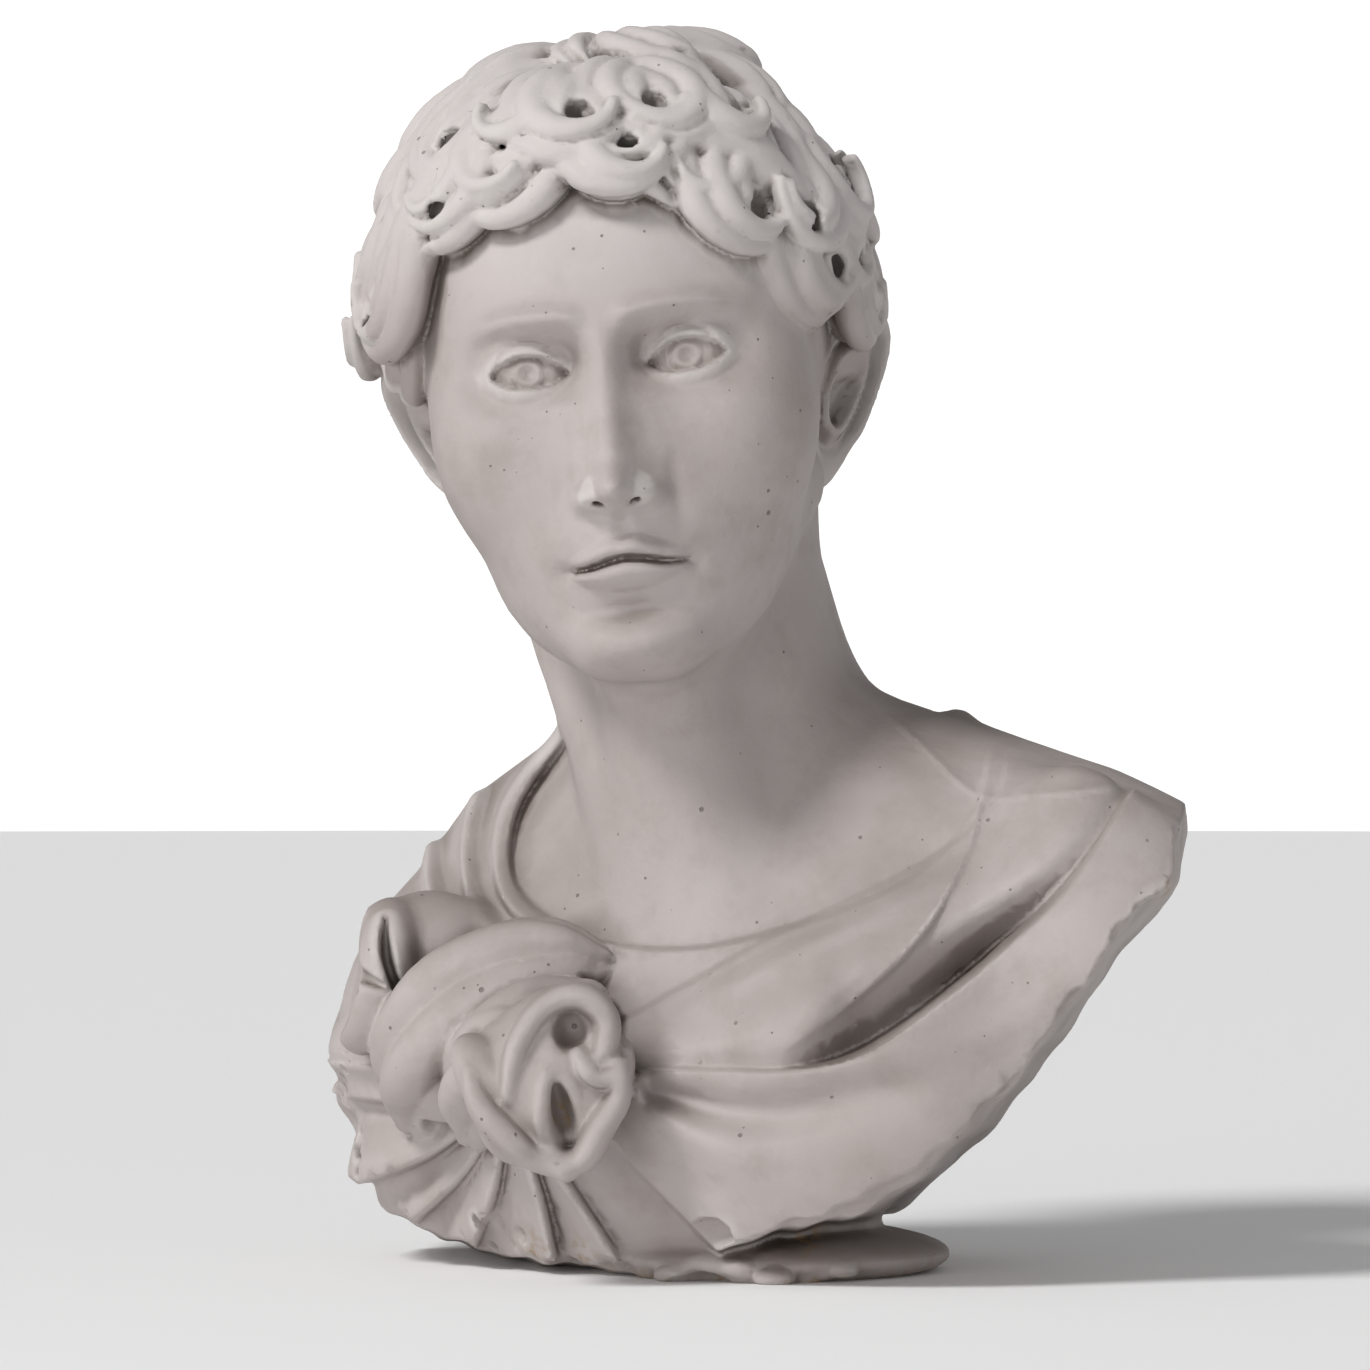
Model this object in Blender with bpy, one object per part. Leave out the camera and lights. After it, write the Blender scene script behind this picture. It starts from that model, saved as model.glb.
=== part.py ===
# A plaster bust of a young saint in a knotted mantle, cast in one piece with its low round foot.
# Metres, +Z up, face towards -Y; the origin is the middle of the foot, on the ground.
import math
import random

import bmesh
import bpy
import numpy as np
import openvdb
from mathutils import Euler, Vector

# Driving sizes, in metres. Pose, proportions and carving are shares of the bust's height.
BUST_HEIGHT = 0.54
FOOT_DIAMETER = 0.156
FOOT_DOME = 0.021
FOOT_RIM_HEIGHT = 0.007

# The carving is worked in units of a hundredth of the height, z up, the face towards -y.
UNIT = BUST_HEIGHT / 100.0
FAR = 50.0
ROPE_MARGIN = 2.4
STRAND_MARGIN = 1.1
CLAY_LOW = (-36.0, -36.0, -2.0)
CLAY_HIGH = (43.0, 32.0, 103.0)

TORSO_TURN = math.radians(-25.0)
TORSO_MIDDLE = (4.0, 0.0)
FOOT_MIDDLE = (5.6, -2.5)
HEAD = 49.4
HEAD_MIDDLE = Vector((-5.4, -4.0, 72.1))
HEAD_POSE = Euler([math.radians(a) for a in (2.0, -6.5, -6.0)], "XYZ").to_matrix()


# Clay: a block of distances to a surface, to which forms are added and from which they are cut.
def smoothstep(value):
    t = np.clip(value, 0.0, 1.0)
    return t * t * (3.0 - 2.0 * t)


def mix(a, b, t):
    return a + (b - a) * t


def blend_min(a, b, reach):
    """The union of two distances, rounded over reach."""
    if reach <= 0.0:
        return np.minimum(a, b)
    h = np.clip(0.5 + 0.5 * (b - a) / reach, 0.0, 1.0)
    return mix(b, a, h) - reach * h * (1.0 - h)


def blend_max(a, b, reach):
    return -blend_min(-a, -b, reach)


def curve_through(points, count):
    """Points along a smooth curve through the given ones; extra columns are carried along."""
    p = np.asarray(points, float)
    p = np.vstack([2 * p[0] - p[1], p, 2 * p[-1] - p[-2]])
    spans = len(p) - 3
    out = []
    for s in np.linspace(0, spans, count):
        i = min(int(s), spans - 1)
        t = s - i
        a, b, c, d = p[i : i + 4]
        cubic = (2 * a - 5 * b + 4 * c - d) * t * t + (3 * b - a - 3 * c + d) * t**3
        out.append(0.5 * (2 * b + (c - a) * t + cubic))
    return np.array(out)


class Clay:
    """A block of clay: at each grid point, the distance to its surface, negative inside."""

    def __init__(self, low, high, voxel):
        self.low = np.array(low, float)
        self.voxel = voxel
        self.counts = np.ceil((np.array(high, float) - self.low) / voxel).astype(int) + 1
        self.distance = np.full(self.counts, FAR, np.float32)

    def window(self, low, high):
        first = np.floor((np.array(low) - self.low) / self.voxel).astype(int)
        last = np.ceil((np.array(high) - self.low) / self.voxel).astype(int) + 1
        first = np.clip(first, 0, self.counts - 1)
        last = np.maximum(np.clip(last, 1, self.counts), first + 1)
        axes = []
        for i in range(3):
            axes.append((self.low[i] + self.voxel * np.arange(first[i], last[i])).astype(np.float32))
        x, y, z = axes[0][:, None, None], axes[1][None, :, None], axes[2][None, None, :]
        return tuple(slice(a, b) for a, b in zip(first, last)), (x, y, z)

    def shape(self, form, how, reach):
        measure, low, high = form
        margin = 2.0 * reach + 2.0 * self.voxel
        where, (x, y, z) = self.window(np.array(low) - margin, np.array(high) + margin)
        self.distance[where] = how(self.distance[where], measure(x, y, z).astype(np.float32), reach)

    def add(self, form, reach=0.0):
        self.shape(form, blend_min, reach)

    def cut(self, form, reach=0.0):
        self.shape(form, lambda clay, other, r: blend_max(clay, -other, r), reach)

    def front_at(self, x, z):
        """The y of the surface that the front elevation shows at (x, z)."""
        i = int(round((x - self.low[0]) / self.voxel))
        k = int(round((z - self.low[2]) / self.voxel))
        inside = np.nonzero(self.distance[i, :, k] < 0)[0]
        return self.low[1] + self.voxel * inside[0] if len(inside) else 0.0

    def skin(self):
        grid = openvdb.FloatGrid(FAR)
        grid.copyFromArray(self.distance)
        points, quads = grid.convertToQuads(isovalue=0.0)
        return points * self.voxel + self.low, quads[:, ::-1]


def ellipsoid(centre, radii, turn=(0.0, 0.0, 0.0)):
    """An ellipsoid; turn is its rotation about x, y and z in degrees."""
    axes = np.array(Euler([math.radians(a) for a in turn]).to_matrix()).T
    c, r = np.array(centre, float), np.array(radii, float)
    span = np.sqrt(((axes.T * r) ** 2).sum(axis=1))

    def measure(x, y, z):
        px, py, pz = x - c[0], y - c[1], z - c[2]
        local = [axes[i][0] * px + axes[i][1] * py + axes[i][2] * pz for i in range(3)]
        near = np.sqrt(sum((local[i] / r[i]) ** 2 for i in range(3)))
        slope = np.sqrt(sum((local[i] / r[i] ** 2) ** 2 for i in range(3)))
        return near * (near - 1.0) / np.maximum(slope, 1e-6)

    return measure, c - span, c + span


def limb(a, b, ra, rb):
    """A round limb from a to b, of radius ra at one end and rb at the other."""
    a, b = np.array(a, float), np.array(b, float)
    along = b - a
    length2 = float(along @ along)

    def measure(x, y, z):
        px, py, pz = x - a[0], y - a[1], z - a[2]
        t = np.clip((px * along[0] + py * along[1] + pz * along[2]) / length2, 0.0, 1.0)
        gap2 = (px - along[0] * t) ** 2 + (py - along[1] * t) ** 2 + (pz - along[2] * t) ** 2
        return np.sqrt(gap2) - (ra + (rb - ra) * t)

    r = max(ra, rb)
    return measure, np.minimum(a, b) - r, np.maximum(a, b) + r


def rope(points, radii, flutes=0, depth=0.0, twist=0.0, flat=1.0, up=(0.0, 0.0, 1.0),
         margin=ROPE_MARGIN):
    """A strand along points, with flutes running along it that turn by twist degrees over its
    length. flat scales its thickness along up, the normal it starts with."""
    p = np.asarray(points, float)
    r = np.asarray(radii, float)
    steps = np.diff(p, axis=0)
    lengths = np.maximum(np.linalg.norm(steps, axis=1), 1e-9)
    so_far = np.concatenate([[0.0], np.cumsum(lengths)]) / lengths.sum()
    normal = np.array(up, float)
    frames = []
    for i, step in enumerate(steps):
        along = step / lengths[i]
        normal = normal - along * (normal @ along)
        normal /= max(np.linalg.norm(normal), 1e-9)
        frames.append((along, normal.copy(), np.cross(along, normal)))

    def measure(x, y, z):
        best = np.full(np.broadcast(x, y, z).shape, FAR, np.float32)
        for i, (along, n, b) in enumerate(frames):
            # only the clay near this step of the strand is worked out
            near = (1.0 + depth) * max(r[i], r[i + 1]) + margin
            low, high = np.minimum(p[i], p[i + 1]) - near, np.maximum(p[i], p[i + 1]) + near
            part = []
            for axis, values in enumerate((x, y, z)):
                first, last = np.searchsorted(values.ravel(), (low[axis], high[axis]))
                part.append(slice(first, last))
            part = tuple(part)
            if best[part].size == 0:
                continue
            px = x[part[0]] - p[i][0]
            py = y[:, part[1]] - p[i][1]
            pz = z[:, :, part[2]] - p[i][2]
            run = px * along[0] + py * along[1] + pz * along[2]
            t = np.clip(run / lengths[i], 0.0, 1.0)
            past = run - t * lengths[i]
            pn = (px * n[0] + py * n[1] + pz * n[2]) / flat
            pb = px * b[0] + py * b[1] + pz * b[2]
            size = r[i] + (r[i + 1] - r[i]) * t
            if flutes:
                angle = np.arctan2(pb, pn)
                turn = math.radians(twist) * (so_far[i] + (so_far[i + 1] - so_far[i]) * t)
                wave = 2.0 * np.abs(np.cos(0.5 * flutes * (angle - turn))) - 1.3
                size = size * (1.0 + depth * wave)
            gap = np.sqrt(past * past + pn * pn + pb * pb) - size
            best[part] = np.minimum(best[part], gap)
        return best

    reach = r[:, None] * (1.0 + depth) * max(1.0, flat)
    return measure, (p - reach).min(axis=0), (p + reach).max(axis=0)


def beside(points, x, z, count=28):
    """Signed distance from a line drawn on the front elevation, positive on its left, and how far
    along the line the nearest point is, from 0 to 1."""
    line = curve_through(points, count)
    best, side, share = None, None, None
    n = len(line) - 1
    for i in range(n):
        ax, az = line[i][:2]
        bx, bz = line[i + 1][:2]
        dx, dz = bx - ax, bz - az
        t = np.clip(((x - ax) * dx + (z - az) * dz) / max(dx * dx + dz * dz, 1e-9), 0.0, 1.0)
        gx, gz = x - ax - t * dx, z - az - t * dz
        gap = gx * gx + gz * gz
        hand = np.sign(dx * gz - dz * gx)
        if best is None:
            best, side, share = gap, hand, (i + t) / n
        else:
            near = gap < best
            best = np.where(near, gap, best)
            side = np.where(near, hand, side)
            share = np.where(near, (i + t) / n, share)
    return np.sqrt(best) * side, share


# Torso
def on_torso(across, ahead, z):
    """A point given across the torso, ahead of its middle and above the ground."""
    c, s = math.cos(TORSO_TURN), math.sin(TORSO_TURN)
    return (TORSO_MIDDLE[0] + across * c + ahead * s, TORSO_MIDDLE[1] + across * s - ahead * c, z)


def ahead_of_torso(x, y):
    c, s = math.cos(TORSO_TURN), math.sin(TORSO_TURN)
    return (x - TORSO_MIDDLE[0]) * s - (y - TORSO_MIDDLE[1]) * c


def build_torso(clay):
    turn = (0.0, 0.0, math.degrees(TORSO_TURN))
    clay.add(ellipsoid(on_torso(0, 0, 12), (28, 17.0, 31), turn), 8)
    clay.add(limb(on_torso(8, -1, 33.4), on_torso(33, 0, 25.4), 9, 9.7), 8)
    clay.add(limb(on_torso(-6, -1, 31), on_torso(-22, -2, 21.8), 9, 10.0), 8)
    clay.add(limb(on_torso(1, -3, 41.8), on_torso(25, -3, 31.8), 5.8, 8.6), 7)
    clay.add(limb(on_torso(-5, -3, 42.4), on_torso(-19, -3, 31.8), 7.0, 8.2), 7)
    clay.add(ellipsoid(on_torso(13, 9, 15), (15, 9.6, 14), turn), 7)
    clay.add(ellipsoid(on_torso(-13, 9, 14), (15, 9.6, 13), turn), 7)
    clay.add(ellipsoid(on_torso(34, -1, 17), (10, 11, 19), turn), 7)
    clay.add(ellipsoid(on_torso(-26, 2, 12), (8, 12, 16), turn), 7)
    clay.add(ellipsoid(on_torso(-31.0, 2, 12.8), (6.0, 9, 3.0), turn), 3)


PLEAT_DROP = 0.7


def fold(x, z, points, widths, height, kind="ridge", fade=(0.12, 0.12), drop=PLEAT_DROP):
    """How far a fold along a line stands out. A ridge is round, and a pleat drops off on its left."""
    side, share = beside(points, x, z)
    q = side / mix(widths[0], widths[1], share)
    if kind == "ridge":
        form = np.exp(-q * q)
    else:
        form = np.where(q < 0, smoothstep((q + 1.9) / 1.9), 1 - smoothstep(side / drop))
    ends = smoothstep(share / max(fade[0], 1e-6)) * smoothstep((1 - share) / max(fade[1], 1e-6))
    return height * form * ends


# Lines of the mantle, across and up on the front elevation
NECKLINE = [(23, 42), (21, 36.4), (16, 31.6), (8.4, 28.4), (-1, 26.2), (-9, 27.0), (-14.5, 30.5),
            (-14.8, 36.5), (-10.4, 43)]
GREAT_HEM = [(-7, 16.9), (1, 17.1), (7, 17.2), (12.5, 18.6), (18, 22.2), (23.2, 26.4), (28.6, 31.8),
             (34, 39.5)]
FOLD_CREASE = [(5, 17.4), (12.8, 22.9), (16.8, 27.0), (20, 32), (22.4, 38), (23, 43)]
MANTLE_EDGE = [(-16, 14.0), (-8, 19.4), (-2, 22.9), (5.3, 27.1), (13, 30.7), (19, 34.0), (23, 37.6),
               (24.5, 43)]
LOWER_HEM = [(-13, 18), (-8.4, 12.4), (-3.6, 7.4), (0.4, 3.4), (4.4, -0.6)]
SOFT_HOLLOW = [(-5, 15.3), (2, 13.9), (9, 14.3), (18, 18.0), (27, 25)]
KNOT_FOLD = [(-6.0, 15.6), (-1, 12.2), (4, 9.6), (10, 7.6)]
HEM_FOLD = [(9, 17.0), (17, 18.0), (26, 22.5), (34, 31)]


def front_drapery(x, z):
    """How far the mantle stands out from the chest, over the front elevation."""
    side = beside(NECKLINE, x, z, 60)[0]
    h = 0.75 * smoothstep(side / 0.5 + 0.5) - 0.2
    # three bands beside the neck
    left = smoothstep((-8 - x) / 4) * smoothstep((z - 25) / 4)
    for away, high in ((1.2, 0.9), (3.9, 1.0), (7.0, 0.9)):
        q = (side - away) / 1.25
        h = h + left * high * np.where(q < 0, smoothstep((q + 1.4) / 1.4), 1 - smoothstep(q / 0.6))

    # the mantle's edge lies thin on the chest, and the cloth swells below it to the great fold
    edge, along = beside(MANTLE_EDGE, x, z, 60)
    below = np.maximum(-edge, 0.0)
    starts = smoothstep(along / 0.06)
    h = h + 0.5 * smoothstep(0.5 - edge / 0.45) * starts
    beaded = smoothstep((0.8 - along) / 0.3) * smoothstep((along - 0.22) / 0.2)
    h = h + 0.45 * np.exp(-(((below - 1.7) / 0.8) ** 2)) * (edge < 0) * beaded
    hem, share = beside(GREAT_HEM, x, z, 60)
    above = smoothstep(hem / 0.6 + 0.5)
    swell = smoothstep(below / 6.0) * above
    h = h + 2.1 * swell
    # a crease where the fold doubles over, and the dark hollow that it dives into behind the hem
    crease, run = beside(FOLD_CREASE, x, z, 40)
    over = smoothstep(0.5 - crease / 0.5) * above
    h = h - 0.45 * over * smoothstep(run / 0.12) * smoothstep((0.95 - run) / 0.45)
    deep = 1.0 + 4.6 * smoothstep((share - 0.26) / 0.22) * smoothstep((1.0 - share) / 0.5)
    h = h - deep * above * np.exp(-((np.maximum(hem, 0.0) / (0.9 + 0.48 * deep)) ** 1.6))
    # the lower sheet, highest along its hem
    h = h + (1.0 - above) * (1.5 * np.exp(np.minimum(hem, 0.0) / 6.0) + 0.25)
    # its soft hollows and the fold that leaves the knot
    h = h - fold(x, z, SOFT_HOLLOW, (0.9, 2.8), 1.1, "ridge", (0.04, 0.55))
    h = h + fold(x, z, KNOT_FOLD, (1.0, 3.0), 1.1, "ridge", (0.0, 0.6))
    h = h + fold(x, z, HEM_FOLD, (1.2, 2.6), 0.45, "ridge", (0.2, 0.4))
    side = beside(LOWER_HEM, x, z)[0]
    return h - 3.2 * smoothstep(0.5 - side / 0.6) * smoothstep((17.5 - z) / 5)


# Where each pleat under the knot ends, how high it stands and how wide it spreads.
PLEATS = [(-33.5, 14.0, 2.0, 3.6), (-28.5, 6.2, 2.0, 3.4), (-23.2, 3.6, 1.5, 1.5),
          (-18.5, 1.4, 1.7, 2.4), (-11.5, 0.0, 1.9, 3.0), (-5.2, -1.0, 1.4, 2.2)]
PLEAT_ROOT = (-15.5, 14.5)


def under_pleats(x, z):
    h = 0.0
    for end_x, end_z, high, wide in PLEATS:
        middle = (0.5 * (end_x + PLEAT_ROOT[0]) + 0.7, 0.5 * (end_z + PLEAT_ROOT[1]) - 0.7)
        line = [PLEAT_ROOT, middle, (end_x, end_z)]
        h = h + fold(x, z, line, (0.8, wide), high, "pleat", (0.0, 0.0))
    return h * smoothstep((15.5 - z) / 4) * smoothstep((1.5 - x) / 6)


BACK_NECKLINE = [(-16, 45), (-9, 40.5), (2, 38.5), (13, 40.5), (20, 45)]
# Each sweep behind: how high it starts and ends, how far it sags and how high it stands.
BACK_SWEEPS = [(35, 27, 7, 1.3), (29, 15, 9, 1.5), (26, 6, 5, 1.0), (19, -2, 6, 1.4)]
SOFT_DROP = 2.4


def back_drapery(x, z):
    """The plainer folds behind: a rolled neck edge and sweeps from one shoulder down to the other."""
    side = beside(BACK_NECKLINE, x, z)[0]
    h = 1.0 - smoothstep(side / 0.9 + 0.5) + 0.7 * np.exp(-(((side + 1.3) / 1.3) ** 2))
    for top, low, sag, high in BACK_SWEEPS:
        sweep = [(33, top), (14, mix(top, low, 0.3) - sag), (-6, mix(top, low, 0.65) - sag), (-26, low)]
        h = h + fold(x, z, sweep, (3.4, 1.8), high, "pleat", (0.3, 0.35), SOFT_DROP)
    return h


CUT_FLARE = 0.12
CUT_OUTLINE = [(-26.4, 30.5), (-27.4, 21.5), (-31.2, 13.8), (-29.3, 9.2), (-23.6, 4.9), (-16, 2.4),
               (-8, 1.5), (-1, 2.0), (4.2, 4.2), (13.0, 6.8), (18.7, 11.4), (25.0, 18.8), (32.1, 29.2),
               (35.0, 33.0), (35.4, 44)]


def build_drapery(clay):
    """Raise the folds from the torso, the richer ones in front and the plainer ones behind."""
    x = (clay.low[0] + clay.voxel * np.arange(clay.counts[0]))[:, None]
    y = (clay.low[1] + clay.voxel * np.arange(clay.counts[1]))[None, :]
    z = (clay.low[2] + clay.voxel * np.arange(clay.counts[2]))[None, :]
    ahead = ahead_of_torso(x, y)
    front = front_drapery(x, z) + under_pleats(x, z)
    back = back_drapery(x, z) * smoothstep((z + 4) / 12)
    in_front = smoothstep(ahead / 7.0).astype(np.float32)[:, :, None]
    behind = smoothstep(-ahead / 7.0 - 0.3).astype(np.float32)[:, :, None]
    clay.distance -= front.astype(np.float32)[:, None, :] * in_front
    clay.distance -= back.astype(np.float32)[:, None, :] * behind


def cut_outline(clay):
    """Cut the torso to its outline, which widens a little towards the back."""
    x = (clay.low[0] + clay.voxel * np.arange(clay.counts[0]))[:, None]
    y = (clay.low[1] + clay.voxel * np.arange(clay.counts[1]))[None, :]
    z = (clay.low[2] + clay.voxel * np.arange(clay.counts[2]))[None, :]
    edge = -beside(CUT_OUTLINE, x, z, 90)[0]
    # sawn by hand, the edge wanders
    edge = edge + 0.22 * np.sin(0.9 * x + 0.5 * z) * np.sin(0.7 * z - 0.4 * x)
    edge = edge + 0.10 * np.sin(2.1 * x - 1.3 * z)
    flare = CUT_FLARE * np.clip(20.0 - ahead_of_torso(x, y), 0.0, 44.0)
    gap = edge.astype(np.float32)[:, None, :] - flare.astype(np.float32)[:, :, None]
    clay.distance = blend_max(clay.distance, gap, 0.25)


def build_foot(clay):
    """The low round foot that the bust is cast with, a dome with a rounded rim."""
    radius = 0.5 * FOOT_DIAMETER / UNIT
    dome = FOOT_DOME / UNIT
    rim = FOOT_RIM_HEIGHT / UNIT
    clay.add(ellipsoid((*FOOT_MIDDLE, rim), (radius, radius, dome - rim)), 1.0)
    clay.add(limb((*FOOT_MIDDLE, rim), (*FOOT_MIDDLE, 8.0), 0.6 * radius, 0.6 * radius), 1.5)


# Neck
def build_neck(clay):
    clay.add(limb(on_torso(0.2, -1, 30), on_head(0.012, 0.06, -0.2), 11.4, 11.2), 4.0)
    clay.add(limb(on_torso(0, -6, 33), on_head(0, 0.2, -0.1), 9.6, 9), 4.0)
    for s in (-1, 1):
        clay.add(limb(on_head(s * 0.21, 0.09, -0.2), on_torso(s * 2.8, 11.5, 28), 3.0, 2.0), 2.6)
    clay.add(limb(on_head(0, -0.20, -0.40), on_torso(0, 9, 29), 4.3, 4.8), 6.0)


# Head, in shares of its height: eyes at z 0, chin at -0.5, crown at 0.5, face towards -y
def on_head(x, y, z):
    return np.array(HEAD_MIDDLE + HEAD_POSE @ Vector((x * HEAD, y * HEAD, z * HEAD)))


def head_window(clay, low, high):
    """The part of the clay round a box of the head, and its points in the head's own shares."""
    spans = list(zip(low, high))
    corners = [on_head(x, y, z) for x in spans[0] for y in spans[1] for z in spans[2]]
    where, (x, y, z) = clay.window(np.min(corners, axis=0), np.max(corners, axis=0))
    back = np.array(HEAD_POSE.transposed()) / HEAD
    px, py, pz = x - HEAD_MIDDLE[0], y - HEAD_MIDDLE[1], z - HEAD_MIDDLE[2]
    local = [(back[i][0] * px + back[i][1] * py + back[i][2] * pz).astype(np.float32) for i in range(3)]
    return where, local


def head_base(x, y, z):
    def part(form):
        return form[0](x, y, z)

    d = part(ellipsoid((0, 0.035, 0.125), (0.345, 0.400, 0.370)))
    d = blend_min(d, part(ellipsoid((0, -0.14, 0.03), (0.312, 0.272, 0.37))), 0.06)
    d = blend_min(d, part(ellipsoid((0, -0.205, -0.23), (0.242, 0.205, 0.262))), 0.07)
    for s in (-1, 1):
        jaw = limb((s * 0.226, -0.03, -0.215), (s * 0.05, -0.335, -0.43), 0.062, 0.06)
        d = blend_min(d, part(jaw), 0.08)
        d = blend_min(d, part(ellipsoid((s * 0.188, -0.225, -0.11), (0.112, 0.137, 0.15))), 0.07)
    return d


def face_relief(x, z):
    """How far the features stand out from the head, over its own front elevation."""
    ax = np.abs(x)

    def pair(cx, cz, sx, sz, power=1.0):
        return np.exp(-((((ax - cx) / sx) ** 2 + ((z - cz) / sz) ** 2) ** power))

    def mid(cz, sx, sz):
        return np.exp(-((x / sx) ** 2 + ((z - cz) / sz) ** 2))

    h = np.zeros(np.broadcast(x, z).shape)
    # eye hollows and brow
    h -= 0.052 * pair(0.126, 0.006, 0.088, 0.048, 1.3)
    h -= 0.030 * pair(0.060, 0.020, 0.030, 0.042)
    brow = 0.074 + 0.014 * np.sin(np.pi * np.clip((ax - 0.02) / 0.2, 0, 1))
    reach = smoothstep((ax - 0.012) / 0.04) * smoothstep((0.25 - ax) / 0.09)
    h += 0.016 * np.exp(-(((z - brow) / 0.020) ** 2)) * reach
    # nose
    zs = [-0.256, -0.242, -0.230, -0.218, -0.205, -0.188, -0.165, -0.13, -0.08, -0.03, 0.02, 0.07, 0.11]
    hs = [0.0, 0.006, 0.018, 0.038, 0.058, 0.070, 0.074, 0.066, 0.050, 0.034, 0.019, 0.006, 0.0]
    ws = [0.030, 0.032, 0.035, 0.039, 0.042, 0.043, 0.040, 0.034, 0.029, 0.028, 0.032, 0.046, 0.060]
    high, wide = np.interp(z, zs, hs), np.interp(z, zs, ws)
    q = ax / wide
    flank = 0.34 * smoothstep((z + 0.225) / 0.09)
    h += high * ((1.0 - flank) * np.exp(-(q**2.1)) + flank * np.exp(-((ax / (wide * 2.3)) ** 2)))
    h += 0.030 * mid(-0.196, 0.034, 0.030)
    h += 0.034 * pair(0.054, -0.204, 0.022, 0.022, 1.2)
    h -= 0.007 * pair(0.089, -0.18, 0.014, 0.035)
    # mouth
    h += 0.022 * mid(-0.29, 0.12, 0.075)
    half = 0.096
    inside = np.clip(1 - (ax / half) ** 2, 0, 1)
    line = -0.305 + 0.004 * np.cos(ax / half * np.pi * 1.5) - 0.009 * (ax / half) ** 2
    top = -0.268 + 0.006 * np.exp(-(((ax - 0.024) / 0.018) ** 2)) - 0.028 * (ax / half) ** 2
    low = -0.356 + 0.032 * (ax / half) ** 2
    up = np.clip((z - line) / np.maximum(top - line, 0.006), 0, 1)
    down = np.clip((line - z) / np.maximum(line - low, 0.006), 0, 1)
    h += 0.016 * np.sin(np.pi * up**0.8) * inside**0.6 * (up > 0)
    h += 0.022 * np.sin(np.pi * down**0.8) ** 0.9 * inside**0.6 * (down > 0)
    h -= 0.017 * np.exp(-(((z - line) / 0.0065) ** 2)) * smoothstep((half + 0.012 - ax) / 0.03)
    h -= 0.010 * pair(0.102, -0.316, 0.016, 0.016)
    h -= 0.006 * mid(-0.247, 0.011, 0.018)
    h += 0.004 * pair(0.020, -0.249, 0.010, 0.018)
    # chin and cheeks
    h -= 0.020 * mid(-0.383, 0.07, 0.018)
    h += 0.030 * mid(-0.437, 0.070, 0.045)
    h += 0.006 * pair(0.185, -0.085, 0.07, 0.05)
    h -= 0.005 * pair(0.125, -0.080, 0.05, 0.018)
    return h


EYE = (0.126, -0.300, 0.000)
EYE_BALL = 0.074
EYE_HALF = 0.063
LID = 0.013


def eye(d, x, y, z, side):
    """Lids over a round ball, with the iris and pupil cut into it."""
    px, py, pz = (x - side * EYE[0]) * side, y - EYE[1], z - EYE[2]
    away = np.sqrt(px * px + py * py + pz * pz)
    s = np.clip(px / EYE_HALF, -1.0, 1.0)
    upper = 0.031 * (1 - np.abs(s) ** 2.4) + 0.003 * s
    lower = -0.022 * (1 - np.abs(s) ** 2.6) + 0.003 * s
    opening = np.maximum(np.maximum(pz - upper, lower - pz), np.abs(px) - EYE_HALF)
    opening = np.where(py > 0.0, 0.05, opening)
    d = blend_min(d, away - EYE_BALL - LID, 0.016)
    crease = pz - 0.048 * (1 - np.abs(s) ** 2.2) - 0.002
    ends = smoothstep((EYE_HALF - np.abs(px)) / 0.020)
    d = d + 0.0050 * np.exp(-((crease / 0.0055) ** 2)) * ends * (py < 0.0)
    d = blend_max(d, -np.maximum(opening, away - 0.14), 0.009)
    iris = np.sqrt(px * px + (pz - 0.003) ** 2)
    cut = 0.0040 * np.exp(-(((iris - 0.029) / 0.0065) ** 2)) + 0.0140 * np.exp(-((iris / 0.0125) ** 2))
    return blend_min(d, away - EYE_BALL + np.where(py < 0.0, cut, 0.0), 0.006)


def nostril(d, x, y, z, side):
    hole = limb((side * 0.027, -0.462, -0.228), (side * 0.031, -0.442, -0.19), 0.010, 0.008)[0](x, y, z)
    return blend_max(d, -hole, 0.006)


def build_head(clay):
    where, (x, y, z) = head_window(clay, (-0.5, -0.62, -0.75), (0.5, 0.6, 0.6))
    step = 0.0015
    table = face_relief(np.arange(-0.45, 0.45, step)[:, None], np.arange(-0.6, 0.6, step)[None, :])
    # the relief is read from a table, between whose points it is interpolated
    fx = np.clip((x + 0.45) / step, 0, table.shape[0] - 1.001)
    fz = np.clip((z + 0.6) / step, 0, table.shape[1] - 1.001)
    ix, iz = fx.astype(np.int32), fz.astype(np.int32)
    tx, tz = fx - ix, fz - iz
    table = table.astype(np.float32)
    near = mix(table[ix, iz], table[ix + 1, iz], tx)
    far = mix(table[ix, iz + 1], table[ix + 1, iz + 1], tx)
    d = head_base(x, y + mix(near, far, tz) * smoothstep((-0.02 - y) / 0.15), z)
    for side in (-1, 1):
        d = eye(d, x, y, z, side)
        d = nostril(d, x, y, z, side)
    clay.distance[where] = blend_min(clay.distance[where], (d * HEAD).astype(np.float32), 2.5)


EAR = (0.314, 0.030, -0.085)
EAR_LEAN = math.radians(46.0)
EAR_TILT = math.radians(-9.0)
EAR_SCALE = 1.12
EAR_FLARE = 0.46


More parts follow.
